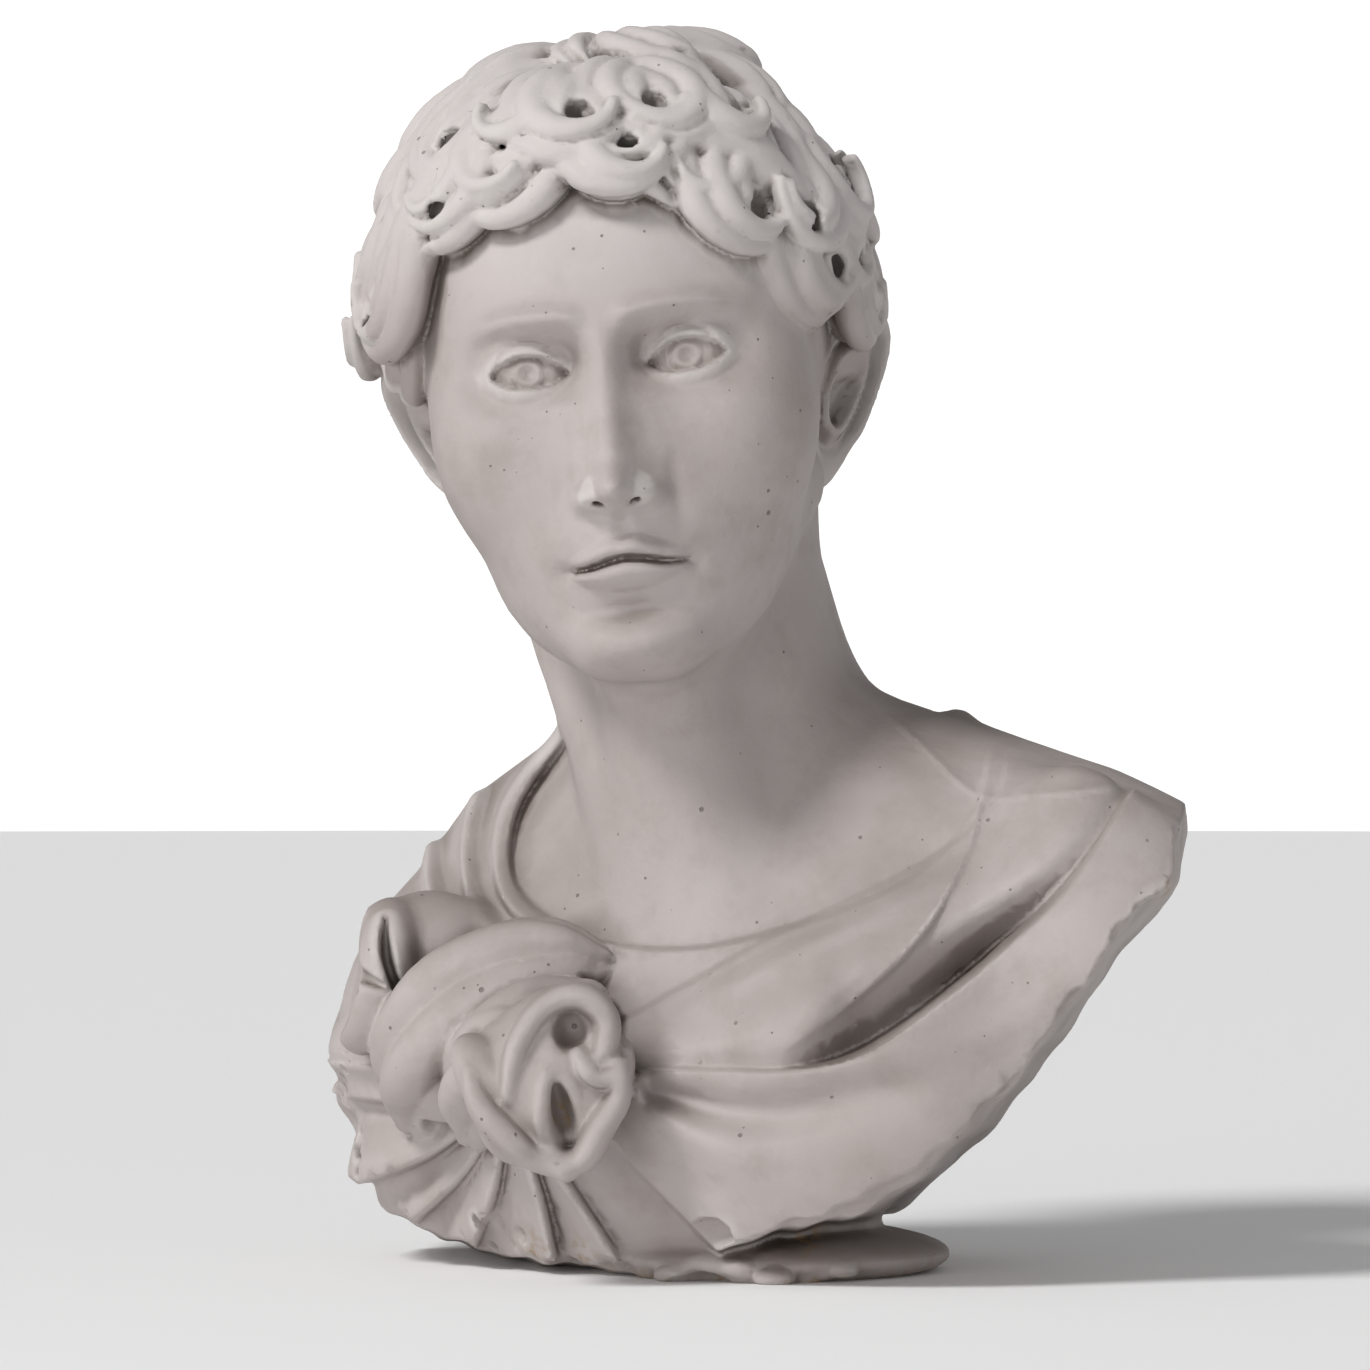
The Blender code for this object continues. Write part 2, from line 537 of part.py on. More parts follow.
def build_ear(clay, side):
    """The ear as a leaning plate whose height follows the distance from its outline."""
    middle = (side * (EAR[0] + 0.03), EAR[1] + 0.02, EAR[2])
    low = [middle[i] - (0.13, 0.15, 0.21)[i] for i in range(3)]
    high = [middle[i] + (0.13, 0.15, 0.21)[i] for i in range(3)]
    where, (x, y, z) = head_window(clay, low, high)
    py, pz = (y - EAR[1]) / EAR_SCALE, (z - EAR[2]) / EAR_SCALE
    px = (x - side * EAR[0]) * side / EAR_SCALE - EAR_FLARE * pz
    out = px * math.cos(EAR_LEAN) - py * math.sin(EAR_LEAN)
    back = px * math.sin(EAR_LEAN) + py * math.cos(EAR_LEAN)
    b = back * math.cos(EAR_TILT) - pz * math.sin(EAR_TILT)
    u = back * math.sin(EAR_TILT) + pz * math.cos(EAR_TILT)
    half = 0.066 * (0.90 + 2.2 * np.clip(u + 0.03, -0.12, 0.10))
    inside = half * (1.0 - np.sqrt(((b - 0.01) / half) ** 2 + (u / 0.132) ** 2 + 1e-6))
    lobe = smoothstep((-0.055 - u) / 0.04)
    behind = smoothstep((b + 0.045) / 0.03)
    hollow = smoothstep((0.035 - u) / 0.03) * smoothstep((u + 0.085) / 0.03)
    height = 0.010 + 0.018 * np.exp(-(((inside - 0.009) / 0.009) ** 2)) * (1 - lobe) * behind
    height = height - 0.012 * np.exp(-(((inside - 0.022) / 0.007) ** 2)) * (1 - lobe) * behind
    height = height + 0.010 * np.exp(-(((inside - 0.034) / 0.008) ** 2)) * (1 - lobe) * behind
    height = height - 0.034 * smoothstep((inside - 0.036) / 0.014) * hollow + 0.004 * lobe
    tragus = 0.020 * np.exp(-(((b + 0.043) / 0.013) ** 2 + ((u + 0.022) / 0.02) ** 2))
    d = blend_max(-inside, out - height - tragus, 0.010)
    d = blend_max(d, -0.006 - 0.55 * np.clip(inside, 0.0, 0.05) - out, 0.008) * EAR_SCALE
    clay.distance[where] = blend_min(clay.distance[where], (d * HEAD).astype(np.float32), 0.5)


# Hair
SKULL = np.array([0.334, 0.412, 0.396])
SKULL_MIDDLE = np.array([-0.003, 0.040, 0.125])
FRINGE_ROLL = 0.054
# A lock that turns further than this is a curl, with a hollow heart. The tip of any other tucks in.
CURL_BEND = 170.0
CURL_HEART = 0.42
TIP_TUCK = 0.5
CROWN_LIFT = 0.044
# Combed waves that leave the crown: their height, how many go round and how long they are.
CROWN_ROWS = [(0.508, 5, 0.24), (0.480, 8, 0.27), (0.425, 11, 0.28)]
CROWN_CLOSERS = 6
# Rows on the back of the head and the nape: their height and how many locks they have.
NAPE_ROWS = [(0.26, 9), (0.15, 8), (0.04, 7), (-0.07, 6)]
NAPE_SPACING = 21
# Rows from ear to ear behind: height over the hairline, half width and how far they stand out.
BACK_ROWS = [(0.10, 0.050, 0.045), (0.19, 0.058, 0.055)]
BACK_LOCKS = 9
SIDE_WAVES = 9
# Where each fuller curl over the temples roots, the side to which it turns and how far it stands out.
TEMPLE_CURLS = [(66, 0.255, 1, 0.055), (84, 0.25, -1, 0.050), (80, 0.35, 1, 0.068),
                (96, 0.28, 1, 0.050), (-64, 0.27, -1, 0.090), (-82, 0.26, 1, 0.104),
                (-78, 0.33, -1, 0.078), (-96, 0.28, -1, 0.060)]
# The azimuth of each lock of the fringe, and the side to which it hooks.
FRINGE_BELOW = [(-70, -1), (-52, 1), (-37, -1), (-24, -1), (-11, 1), (3, -1), (15, 1), (29, -1),
                (44, 1), (60, 1)]
FRINGE_ABOVE = [(-60, -1), (-44, -1), (-29, 1), (-15, -1), (0, 1), (13, -1), (26, 1), (40, 1),
                (56, -1), (72, 1)]


def hairline(azimuth):
    """How low the hair reaches at each azimuth from the face, in degrees, in head shares."""
    turns = [0, 25, 40, 52, 62, 72, 82, 92, 108, 122, 180]
    heights = [0.285, 0.27, 0.235, 0.16, 0.08, 0.06, 0.09, 0.12, 0.11, -0.13, -0.22]
    return np.interp(azimuth, turns, heights)


def build_scalp(clay):
    where, (x, y, z) = head_window(clay, (-0.5, -0.55, -0.4), (0.5, 0.6, 0.6))
    d = ellipsoid(SKULL_MIDDLE, SKULL - 0.002)[0](x, y, z)
    azimuth = np.degrees(np.arctan2(np.abs(x), -(y - SKULL_MIDDLE[1])))
    d = blend_max(d, (hairline(azimuth) + 0.03 - z) * 0.8, 0.02)
    clay.distance[where] = blend_min(clay.distance[where], (d * HEAD).astype(np.float32), 0.8)


def strand(azimuth, height, heading, bend, length, half, lift, curl, aside):
    """A strand that roots on the skull at a height, sets off at a heading from straight down and
    curls by bend degrees, aside from the middle of its lock. Returns its points and radii."""
    rise = (height - SKULL_MIDDLE[2]) / SKULL[2]
    level = math.sqrt(max(0.0, 1.0 - rise * rise))
    turn = math.radians(azimuth)
    place = SKULL_MIDDLE + SKULL * np.array([math.sin(turn) * level, -math.cos(turn) * level, rise])
    points, radii = [], []
    steps = 24
    for i in range(steps):
        share = i / (steps - 1)
        normal = (place - SKULL_MIDDLE) / SKULL**2
        normal /= np.linalg.norm(normal)
        down = np.array([0.0, 0.0, -1.0]) + normal * normal[2]
        down /= max(np.linalg.norm(down), 1e-6)
        angle = math.radians(heading + bend * share**curl)
        way = down * math.cos(angle) + np.cross(normal, down) * math.sin(angle)
        root = 0.6 + 0.4 * smoothstep(share / 0.3).item()
        size = half * root * (1.0 - 0.66 * smoothstep((share - 0.45) / 0.55).item())
        rise_of_lock = lift * (0.2 + 0.8 * math.sin(0.5 * math.pi * share))
        if abs(bend) < CURL_BEND:
            rise_of_lock -= TIP_TUCK * lift * smoothstep((share - 0.7) / 0.3).item()
        spot = place + normal * rise_of_lock + np.cross(normal, way) * aside * size
        points.append(on_head(*spot))
        radii.append(size * HEAD)
        place = place + way * length / steps
        spread = (place - SKULL_MIDDLE) / SKULL
        place = SKULL_MIDDLE + SKULL * spread / np.linalg.norm(spread)
    return points, radii


def add_lock(clay, rng, azimuth, height, heading, bend, length, half, lift=0.03, curl=1.5):
    """A lock is a core with three strands laid over it, which meet at its tip."""
    points, radii = strand(azimuth, height, heading, bend, length, half, lift - 0.3 * half, curl, 0.0)
    clay.add(rope(points, 0.74 * np.array(radii), flat=0.9, margin=STRAND_MARGIN), 0.25)
    for aside in (-0.68, 0.0, 0.68):
        reach = length * rng.uniform(0.93, 1.0)
        out = lift + half * (0.34 - 0.55 * aside * aside + rng.uniform(-0.12, 0.12))
        points, radii = strand(azimuth, height, heading, bend, reach, half, out, curl, aside)
        clay.add(rope(points, rng.uniform(0.42, 0.52) * np.array(radii), margin=STRAND_MARGIN), 0.18)
    if abs(bend) > CURL_BEND:
        heart = np.mean(points[len(points) // 2 :], axis=0)
        clay.cut(ellipsoid(heart, np.full(3, CURL_HEART * half * HEAD)), 0.3)


def build_hair(clay, seed=11):
    rng = random.Random(seed)
    build_scalp(clay)
    for height, count, reach in CROWN_ROWS:
        for i in range(count):
            azimuth = 360 * (i + 0.5 + rng.uniform(-0.2, 0.2)) / count
            side = rng.choice((-1, 1))
            heading, bend = -side * rng.uniform(15, 45), side * rng.uniform(80, 130)
            half = 0.056 * rng.uniform(0.9, 1.15)
            add_lock(clay, rng, azimuth, height, heading, bend, reach, half, CROWN_LIFT, 1.3)
    for height, count in NAPE_ROWS:
        for i in range(count):
            azimuth = 180 + (i - (count - 1) / 2) * NAPE_SPACING + rng.uniform(-4, 4)
            side = rng.choice((-1, 1))
            heading, bend = -side * rng.uniform(20, 60), side * rng.uniform(180, 250)
            add_lock(clay, rng, azimuth, height, heading, bend, 0.25, 0.045, 0.02)
    # a roll that carries the fringe out over the forehead
    turns = np.radians(np.linspace(-78, 78, 40))
    rise = (hairline(np.abs(np.degrees(turns))) + 0.085 - SKULL_MIDDLE[2]) / SKULL[2]
    level = np.sqrt(1.0 - rise**2)
    ring = np.stack([np.sin(turns) * level, -np.cos(turns) * level, rise], axis=1)
    roll = [on_head(*(SKULL_MIDDLE + (SKULL + 0.030) * spot)) for spot in ring]
    clay.add(rope(roll, np.full(40, FRINGE_ROLL * HEAD)), 0.8)
    # hooked locks from ear to ear behind, then two rows of the fringe, the upper over the lower
    for row, (drop, half, out) in enumerate(BACK_ROWS):
        for i in range(BACK_LOCKS):
            azimuth = 84 + 192 * (i + 0.5 * row) / BACK_LOCKS + rng.uniform(-4, 4)
            azimuth = (azimuth + 180) % 360 - 180
            side = rng.choice((-1, 1))
            top = min(float(hairline(abs(azimuth))) + drop, 0.45)
            heading, bend = -side * rng.uniform(15, 60), side * rng.uniform(190, 260)
            length, wide = rng.uniform(0.27, 0.33), half * rng.uniform(0.9, 1.15)
            lift = out + rng.uniform(0.0, 0.02)
            add_lock(clay, rng, azimuth, top, heading, bend, length, wide, lift, 1.8)
    for drop, out, turns in ((0.135, 0.050, FRINGE_BELOW), (0.20, 0.066, FRINGE_ABOVE)):
        for azimuth, side in turns:
            top = min(float(hairline(abs(azimuth))) + drop, 0.455)
            heading, bend = -side * rng.uniform(30, 55), side * rng.uniform(205, 250)
            length, wide = rng.uniform(0.28, 0.32), 0.060 * rng.uniform(0.92, 1.12)
            lift = out + rng.uniform(-0.01, 0.01)
            add_lock(clay, rng, azimuth, top, heading, bend, length, wide, lift, 1.9)
    # fuller curls that stand out over the temples
    for azimuth, height, side, out in TEMPLE_CURLS:
        bend = side * rng.uniform(240, 290)
        add_lock(clay, rng, azimuth, height, -side * 60, bend, 0.36, 0.060, out, 1.6)
    # short ones close the crown
    for i in range(CROWN_CLOSERS):
        side = rng.choice((-1, 1))
        heading, bend = -side * rng.uniform(10, 40), side * rng.uniform(70, 110)
        azimuth = 360 / CROWN_CLOSERS * i + 15
        add_lock(clay, rng, azimuth, 0.514, heading, bend, 0.17, 0.046, 0.5 * CROWN_LIFT, 1.3)
    # waves that fill the sides and back, between the crown and the curls
    for i in range(SIDE_WAVES):
        azimuth = (66 + 28.5 * i + 180) % 360 - 180
        side = rng.choice((-1, 1))
        heading, bend = -side * rng.uniform(20, 50), side * rng.uniform(90, 140)
        height = rng.uniform(0.35, 0.39)
        add_lock(clay, rng, azimuth, height, heading, bend, 0.27, 0.058, CROWN_LIFT, 1.3)


# Knot
# Each loop of its free end: a line across and up, the thickness along it and how far it stands out.
LOOPS = [
    ([(-14.9, 15.0), (-14.1, 19.0), (-12.0, 22.0), (-9.2, 22.8), (-7.3, 21.0), (-7.6, 18.4),
      (-9.4, 17.2)],
     (0.6, 0.9, 1.0, 1.1, 1.1, 1.0, 0.5), (0.2, 0.5, 0.7, 0.9, 0.7, 0.6, 0.2)),
    ([(-9.4, 18.4), (-8.4, 16.8), (-6.9, 17.0), (-5.9, 18.4)],
     (0.5, 0.8, 0.9, 0.5), (0.0, 0.6, 0.6, 0.0)),
    ([(-6.4, 17.6), (-6.3, 15.2), (-7.8, 12.6), (-9.2, 10.2), (-11.2, 10.4), (-12.3, 13.4),
      (-11.9, 17.0)],
     (0.6, 1.0, 1.2, 1.1, 0.9, 0.8, 0.5), (0.2, 0.5, 0.6, 0.3, 0.3, 0.4, 0.1)),
    ([(-17.8, 17.0), (-16.8, 14.2), (-14.0, 11.2), (-10.4, 9.2)],
     (0.5, 1.2, 1.3, 0.8), (0.0, 0.4, 0.4, 0.0)),
]
BUNCH_CREASE = [(-24.9, 28.6), (-24.8, 26.0), (-23.6, 22.4), (-21.4, 19.2)]
PANEL_CREASE = [(-28.2, 24.8), (-26.6, 23.8), (-24.8, 23.0)]
UPPER_BAND = [(-8.6, 25.0), (-13.0, 24.6), (-17.8, 21.6), (-21.4, 17.0), (-22.4, 12.6)]
LOWER_BAND = [(-9.0, 21.5), (-13.0, 20.0), (-16.6, 15.8), (-17.6, 11.6)]
STEPS = 26


def build_knot(clay):
    def cloth(points, radii, out, flutes, depth, twist):
        line = curve_through([(x, z, o) for (x, z), o in zip(points, out)], STEPS)
        sizes = curve_through([(r, 0) for r in radii], STEPS)[:, 0]
        ys = [clay.front_at(x, z) for x, z, o in line]
        ys = np.convolve(np.pad(ys, 5, mode="edge"), np.ones(11) / 11, "valid")
        spots = [(x, y - o, z) for (x, z, o), y in zip(line, ys)]
        return rope(spots, sizes, flutes, depth, twist, 0.8, (0, 1, 0))

    def mass(x, z, out, radii, turn):
        return ellipsoid((x, clay.front_at(x, z) - out, z), radii, turn)

    def crease(points, deep, wide, out=0.0):
        spots = [(x, clay.front_at(x, z) - out, z) for x, z in points]
        sizes = wide * np.sin(np.linspace(0.12, 0.90, len(spots)) * math.pi)
        clay.cut(rope(spots, sizes, flat=deep / wide, up=(0, 1, 0)), 0.35)

    # the cloth that comes down from the shoulder, gathered in a bunch and a broad panel
    clay.add(mass(-21.2, 24.8, 0.8, (5.8, 4.0, 5.6), (0, 20, -10)), 1.6)
    clay.add(mass(-25.8, 23.6, 0.5, (3.2, 5.0, 6.4), (0, 14, 10)), 1.2)
    crease(curve_through(BUNCH_CREASE, 16), 2.2, 0.55, 0.2)
    crease(curve_through(PANEL_CREASE, 12), 0.7, 0.5)
    # the band wrapped over it, pulled into long ridges
    upper = cloth(UPPER_BAND, (1.8, 4.0, 5.2, 4.6, 2.2), (1.2, 2.6, 3.6, 3.2, 0.6), 5, 0.13, 70)
    clay.add(upper, 0.5)
    lower = cloth(LOWER_BAND, (2.2, 3.6, 3.9, 1.8), (2.6, 3.6, 3.4, 0.8), 4, 0.14, 60)
    clay.add(lower, 0.4)
    # its free end, bunched and turned over in thin-edged loops with a hollow heart
    y = clay.front_at(-12.4, 17.5)
    clay.add(ellipsoid((-12.2, y - 0.2, 16.6), (4.9, 3.6, 7.4), (0, 24, 0)), 0.5)
    clay.add(ellipsoid((-15.2, y - 0.1, 15.0), (2.7, 3.0, 5.8), (0, -38, 0)), 0.3)
    clay.add(ellipsoid((-8.6, y + 0.4, 15.4), (2.9, 3.2, 5.0), (0, 30, 0)), 0.3)
    y = clay.front_at(-12.0, 18.0)
    clay.cut(ellipsoid((-9.9, y - 0.2, 20.3), (1.5, 2.8, 1.8)), 0.6)
    clay.cut(ellipsoid((-10.6, y - 0.2, 13.6), (0.95, 3.0, 2.7), (0, -14, 0)), 0.5)
    for points, sizes, out in LOOPS:
        line = curve_through([(x, z, o) for (x, z), o in zip(points, out)], STEPS)
        ys = np.array([clay.front_at(x, z) for x, z, o in line])
        ys = np.minimum(np.convolve(np.pad(ys, 3, mode="edge"), np.ones(7) / 7, "valid"), y + 1.6)
        spots = [(x, front + 0.4 - o, z) for (x, z, o), front in zip(line, ys)]
        widths = curve_through([(r, 0) for r in sizes], STEPS)[:, 0]
        clay.add(rope(spots, widths, flat=1.5, up=(0, 1, 0)), 0.5)
    clay.cut(mass(-21.0, 11.6, 0.0, (1.2, 1.8, 1.5), (0, 30, 0)), 0.6)


def build_bust(voxel):
    clay = Clay(CLAY_LOW, CLAY_HIGH, voxel)
    build_torso(clay)
    build_drapery(clay)
    build_neck(clay)
    build_knot(clay)
    cut_outline(clay)
    build_foot(clay)
    build_head(clay)
    for side in (-1, 1):
        build_ear(clay, side)
    build_hair(clay)
    return clay


# The solid
CLAY_GRAIN = 0.55
SOLID_TRIANGLES = 9000
PLASTER_COLOUR = (0.60, 0.56, 0.54, 1.0)


def largest_shell(bm):
    """Remove every shell but the largest, such as a bubble closed up inside a curl."""
    unseen = set(bm.faces)
    shells = []
    while unseen:
        shell, edge_of_shell = set(), [unseen.pop()]
        while edge_of_shell:
            face = edge_of_shell.pop()
            shell.add(face)
            for edge in face.edges:
                for other in edge.link_faces:
                    if other in unseen:
                        unseen.discard(other)
                        edge_of_shell.append(other)
        shells.append(shell)
    shells.sort(key=len)
    small = [face for shell in shells[:-1] for face in shell]
    bmesh.ops.delete(bm, geom=small, context="FACES")


def cut_flat_at_ground(bm):
    """Cut away what lies under the ground and close the cut with a flat face."""
    everything = bm.verts[:] + bm.edges[:] + bm.faces[:]
    cut = bmesh.ops.bisect_plane(bm, geom=everything, dist=1e-7, plane_co=(0, 0, 0), plane_no=(0, 0, -1),
                                 clear_outer=True)
    rim = [item for item in cut["geom_cut"] if isinstance(item, bmesh.types.BMEdge)]
    bmesh.ops.triangle_fill(bm, edges=rim, use_beauty=True, normal=(0, 0, -1))
    bmesh.ops.recalc_face_normals(bm, faces=bm.faces)


def plaster_material():
    material = bpy.data.materials.new("plaster")
    material.use_nodes = True
    shader = material.node_tree.nodes["Principled BSDF"]
    shader.inputs["Base Color"].default_value = PLASTER_COLOUR
    shader.inputs["Roughness"].default_value = 0.85
    shader.inputs["Metallic"].default_value = 0.0
    return material


def make_bust():
    points, quads = build_bust(CLAY_GRAIN).skin()
    points = (points - np.array([*FOOT_MIDDLE, 0.0])) * UNIT
    rough = bpy.data.meshes.new("rough_bust")
    rough.from_pydata(points.tolist(), [], quads.tolist())
    bust = bpy.data.objects.new("plaster_bust", rough)
    bpy.context.scene.collection.objects.link(bust)

    thin = bust.modifiers.new("fewer_triangles", "DECIMATE")
    thin.ratio = SOLID_TRIANGLES / (2 * len(quads))
    thin.use_collapse_triangulate = True
    thinned = bust.evaluated_get(bpy.context.evaluated_depsgraph_get())
    bm = bmesh.new()
    bm.from_mesh(thinned.to_mesh())
    bust.modifiers.clear()

    largest_shell(bm)
    cut_flat_at_ground(bm)
    solid = bpy.data.meshes.new("plaster_bust")
    bm.to_mesh(solid)
    bm.free()
    bust.data = solid
    bpy.data.meshes.remove(rough)
    solid.materials.append(plaster_material())
    return bust


for old in list(bpy.data.objects):
    bpy.data.objects.remove(old)
make_bust()
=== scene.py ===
import math
import random

import bmesh
import bpy
import numpy as np
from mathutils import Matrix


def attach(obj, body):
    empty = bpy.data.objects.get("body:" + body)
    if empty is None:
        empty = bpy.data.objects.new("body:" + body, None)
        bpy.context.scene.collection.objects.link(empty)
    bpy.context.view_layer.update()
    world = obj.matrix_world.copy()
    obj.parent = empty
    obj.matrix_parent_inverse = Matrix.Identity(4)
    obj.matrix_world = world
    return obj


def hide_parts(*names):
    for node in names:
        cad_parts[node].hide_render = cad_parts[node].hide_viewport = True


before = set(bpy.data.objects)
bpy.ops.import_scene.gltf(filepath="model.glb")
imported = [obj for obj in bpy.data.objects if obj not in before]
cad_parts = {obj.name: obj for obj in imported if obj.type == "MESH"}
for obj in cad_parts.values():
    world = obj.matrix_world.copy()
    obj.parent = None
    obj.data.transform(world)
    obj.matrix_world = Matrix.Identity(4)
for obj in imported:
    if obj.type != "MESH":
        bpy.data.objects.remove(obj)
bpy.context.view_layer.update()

import openvdb
from mathutils import Euler, Vector, noise

# Driving sizes, in metres. Pose, proportions and carving are shares of the bust's height.
BUST_HEIGHT = 0.54
FOOT_DIAMETER = 0.156
FOOT_DOME = 0.021
FOOT_RIM_HEIGHT = 0.007

# The carving is worked in units of a hundredth of the height.
UNIT = BUST_HEIGHT / 100
FAR = 50
ROPE_MARGIN = 2.4
STRAND_MARGIN = 1.1
CLAY_LOW = (-36, -36, -2)
CLAY_HIGH = (43, 32, 103)

TORSO_TURN = math.radians(-25)
TORSO_MIDDLE = (4, 0)
FOOT_MIDDLE = (5.6, -2.5)
HEAD = 49.4
HEAD_MIDDLE = Vector((-5.4, -4, 72.1))
HEAD_POSE = Euler([math.radians(a) for a in (2, -6.5, -6)], "XYZ").to_matrix()


# Clay
def smoothstep(value):
    t = np.clip(value, 0, 1)
    return t * t * (3 - 2 * t)


def mix(a, b, t):
    return a + (b - a) * t


def bell(value):
    return np.exp(-(value**2))


def blend_min(a, b, reach):
    """The union of two distances, rounded over reach."""
    if reach <= 0:
        return np.minimum(a, b)
    h = np.clip(0.5 + 0.5 * (b - a) / reach, 0, 1)
    return mix(b, a, h) - reach * h * (1 - h)


def blend_max(a, b, reach):
    return -blend_min(-a, -b, reach)


def curve_through(points, count):
    """Points along a smooth curve through the given ones."""
    p = np.asarray(points, float)
    p = np.vstack([2 * p[0] - p[1], p, 2 * p[-1] - p[-2]])
    spans = len(p) - 3
    out = []
    for s in np.linspace(0, spans, count):
        i = min(int(s), spans - 1)
        t = s - i
        a, b, c, d = p[i : i + 4]
        cubic = (2 * a - 5 * b + 4 * c - d) * t * t + (3 * b - a - 3 * c + d) * t**3
        out.append(0.5 * (2 * b + (c - a) * t + cubic))
    return np.array(out)


class Clay:
    """A block of clay: at each grid point, the distance to its surface, negative inside."""

    def __init__(self, low, high, voxel):
        self.low = np.array(low, float)
        self.voxel = voxel
        self.counts = np.ceil((np.array(high, float) - self.low) / voxel).astype(int) + 1
        self.distance = np.full(self.counts, FAR, np.float32)

    def planes(self):
        """The grid's x, y and z, to span plans and elevations."""
        x, y, z = [self.low[i] + self.voxel * np.arange(self.counts[i]) for i in range(3)]
        return x[:, None], y[None, :], z[None, :]

    def window(self, low, high):
        first = np.floor((np.array(low) - self.low) / self.voxel).astype(int)
        last = np.ceil((np.array(high) - self.low) / self.voxel).astype(int) + 1
        first = np.clip(first, 0, self.counts - 1)
        last = np.maximum(np.clip(last, 1, self.counts), first + 1)
        axes = [self.low[i] + self.voxel * np.arange(first[i], last[i]) for i in range(3)]
        return tuple(map(slice, first, last)), np.ix_(*[axis.astype(np.float32) for axis in axes])

    def shape(self, form, how, reach):
        measure, low, high = form
        margin = 2 * reach + 2 * self.voxel
        where, (x, y, z) = self.window(np.array(low) - margin, np.array(high) + margin)
        self.distance[where] = how(self.distance[where], measure(x, y, z).astype(np.float32), reach)

    def add(self, form, reach=0):
        self.shape(form, blend_min, reach)

    def cut(self, form, reach=0):
        self.shape(form, lambda clay, other, r: blend_max(clay, -other, r), reach)

    def front_at(self, x, z):
        """The y of the front surface at (x, z)."""
        i = int(round((x - self.low[0]) / self.voxel))
        k = int(round((z - self.low[2]) / self.voxel))
        inside = np.nonzero(self.distance[i, :, k] < 0)[0]
        return self.low[1] + self.voxel * inside[0] if len(inside) else 0

    def skin(self):
        grid = openvdb.FloatGrid(FAR)
        grid.copyFromArray(self.distance)
        points, quads = grid.convertToQuads(isovalue=0)
        return points * self.voxel + self.low, quads[:, ::-1]


def ellipsoid(centre, radii, turn=(0, 0, 0)):
    """turn is the rotation about x, y and z in degrees."""
    axes = np.array(Euler([math.radians(a) for a in turn]).to_matrix()).T
    c, r = np.array(centre, float), np.array(radii, float)
    span = np.sqrt(((axes.T * r) ** 2).sum(axis=1))

    def measure(x, y, z):
        px, py, pz = x - c[0], y - c[1], z - c[2]
        local = [axes[i][0] * px + axes[i][1] * py + axes[i][2] * pz for i in range(3)]
        near = np.sqrt(sum((local[i] / r[i]) ** 2 for i in range(3)))
        slope = np.sqrt(sum((local[i] / r[i] ** 2) ** 2 for i in range(3)))
        return near * (near - 1) / np.maximum(slope, 1e-6)

    return measure, c - span, c + span


def limb(a, b, ra, rb):
    """A round limb from a to b, of radius ra to rb."""
    a, b = np.array(a, float), np.array(b, float)
    along = b - a
    length2 = float(along @ along)

    def measure(x, y, z):
        px, py, pz = x - a[0], y - a[1], z - a[2]
        t = np.clip((px * along[0] + py * along[1] + pz * along[2]) / length2, 0, 1)
        gap2 = (px - along[0] * t) ** 2 + (py - along[1] * t) ** 2 + (pz - along[2] * t) ** 2
        return np.sqrt(gap2) - (ra + (rb - ra) * t)

    r = max(ra, rb)
    return measure, np.minimum(a, b) - r, np.maximum(a, b) + r


def rope(points, radii, flutes=0, depth=0, twist=0, flat=1, up=(0, 0, 1),
         margin=ROPE_MARGIN):
    """A strand along points, whose flutes turn by twist degrees over its length. flat scales its
    thickness along up, the normal it starts with."""
    p = np.asarray(points, float)
    r = np.asarray(radii, float)
    steps = np.diff(p, axis=0)
    lengths = np.maximum(np.linalg.norm(steps, axis=1), 1e-9)
    so_far = np.concatenate([[0], np.cumsum(lengths)]) / lengths.sum()
    normal = np.array(up, float)
    frames = []
    for i, step in enumerate(steps):
        along = step / lengths[i]
        normal = normal - along * (normal @ along)
        normal /= max(np.linalg.norm(normal), 1e-9)
        frames.append((along, normal.copy(), np.cross(along, normal)))

    def measure(x, y, z):
        best = np.full(np.broadcast(x, y, z).shape, FAR, np.float32)
        for i, (along, n, b) in enumerate(frames):
            # only the clay near this step is worked out
            near = (1 + depth) * max(r[i], r[i + 1]) + margin
            low, high = np.minimum(p[i], p[i + 1]) - near, np.maximum(p[i], p[i + 1]) + near
            ends = [np.searchsorted(v.ravel(), (a, b)) for v, a, b in zip((x, y, z), low, high)]
            part = tuple(slice(*pair) for pair in ends)
            if best[part].size == 0:
                continue
            px = x[part[0]] - p[i][0]
            py = y[:, part[1]] - p[i][1]
            pz = z[:, :, part[2]] - p[i][2]
            run = px * along[0] + py * along[1] + pz * along[2]
            t = np.clip(run / lengths[i], 0, 1)
            past = run - t * lengths[i]
            pn = (px * n[0] + py * n[1] + pz * n[2]) / flat
            pb = px * b[0] + py * b[1] + pz * b[2]
            size = r[i] + (r[i + 1] - r[i]) * t
            if flutes:
                angle = np.arctan2(pb, pn)
                turn = math.radians(twist) * (so_far[i] + (so_far[i + 1] - so_far[i]) * t)
                wave = 2 * np.abs(np.cos(0.5 * flutes * (angle - turn))) - 1.3
                size = size * (1 + depth * wave)
            gap = np.sqrt(past * past + pn * pn + pb * pb) - size
            best[part] = np.minimum(best[part], gap)
        return best

    reach = r[:, None] * (1 + depth) * max(1, flat)
    return measure, (p - reach).min(axis=0), (p + reach).max(axis=0)


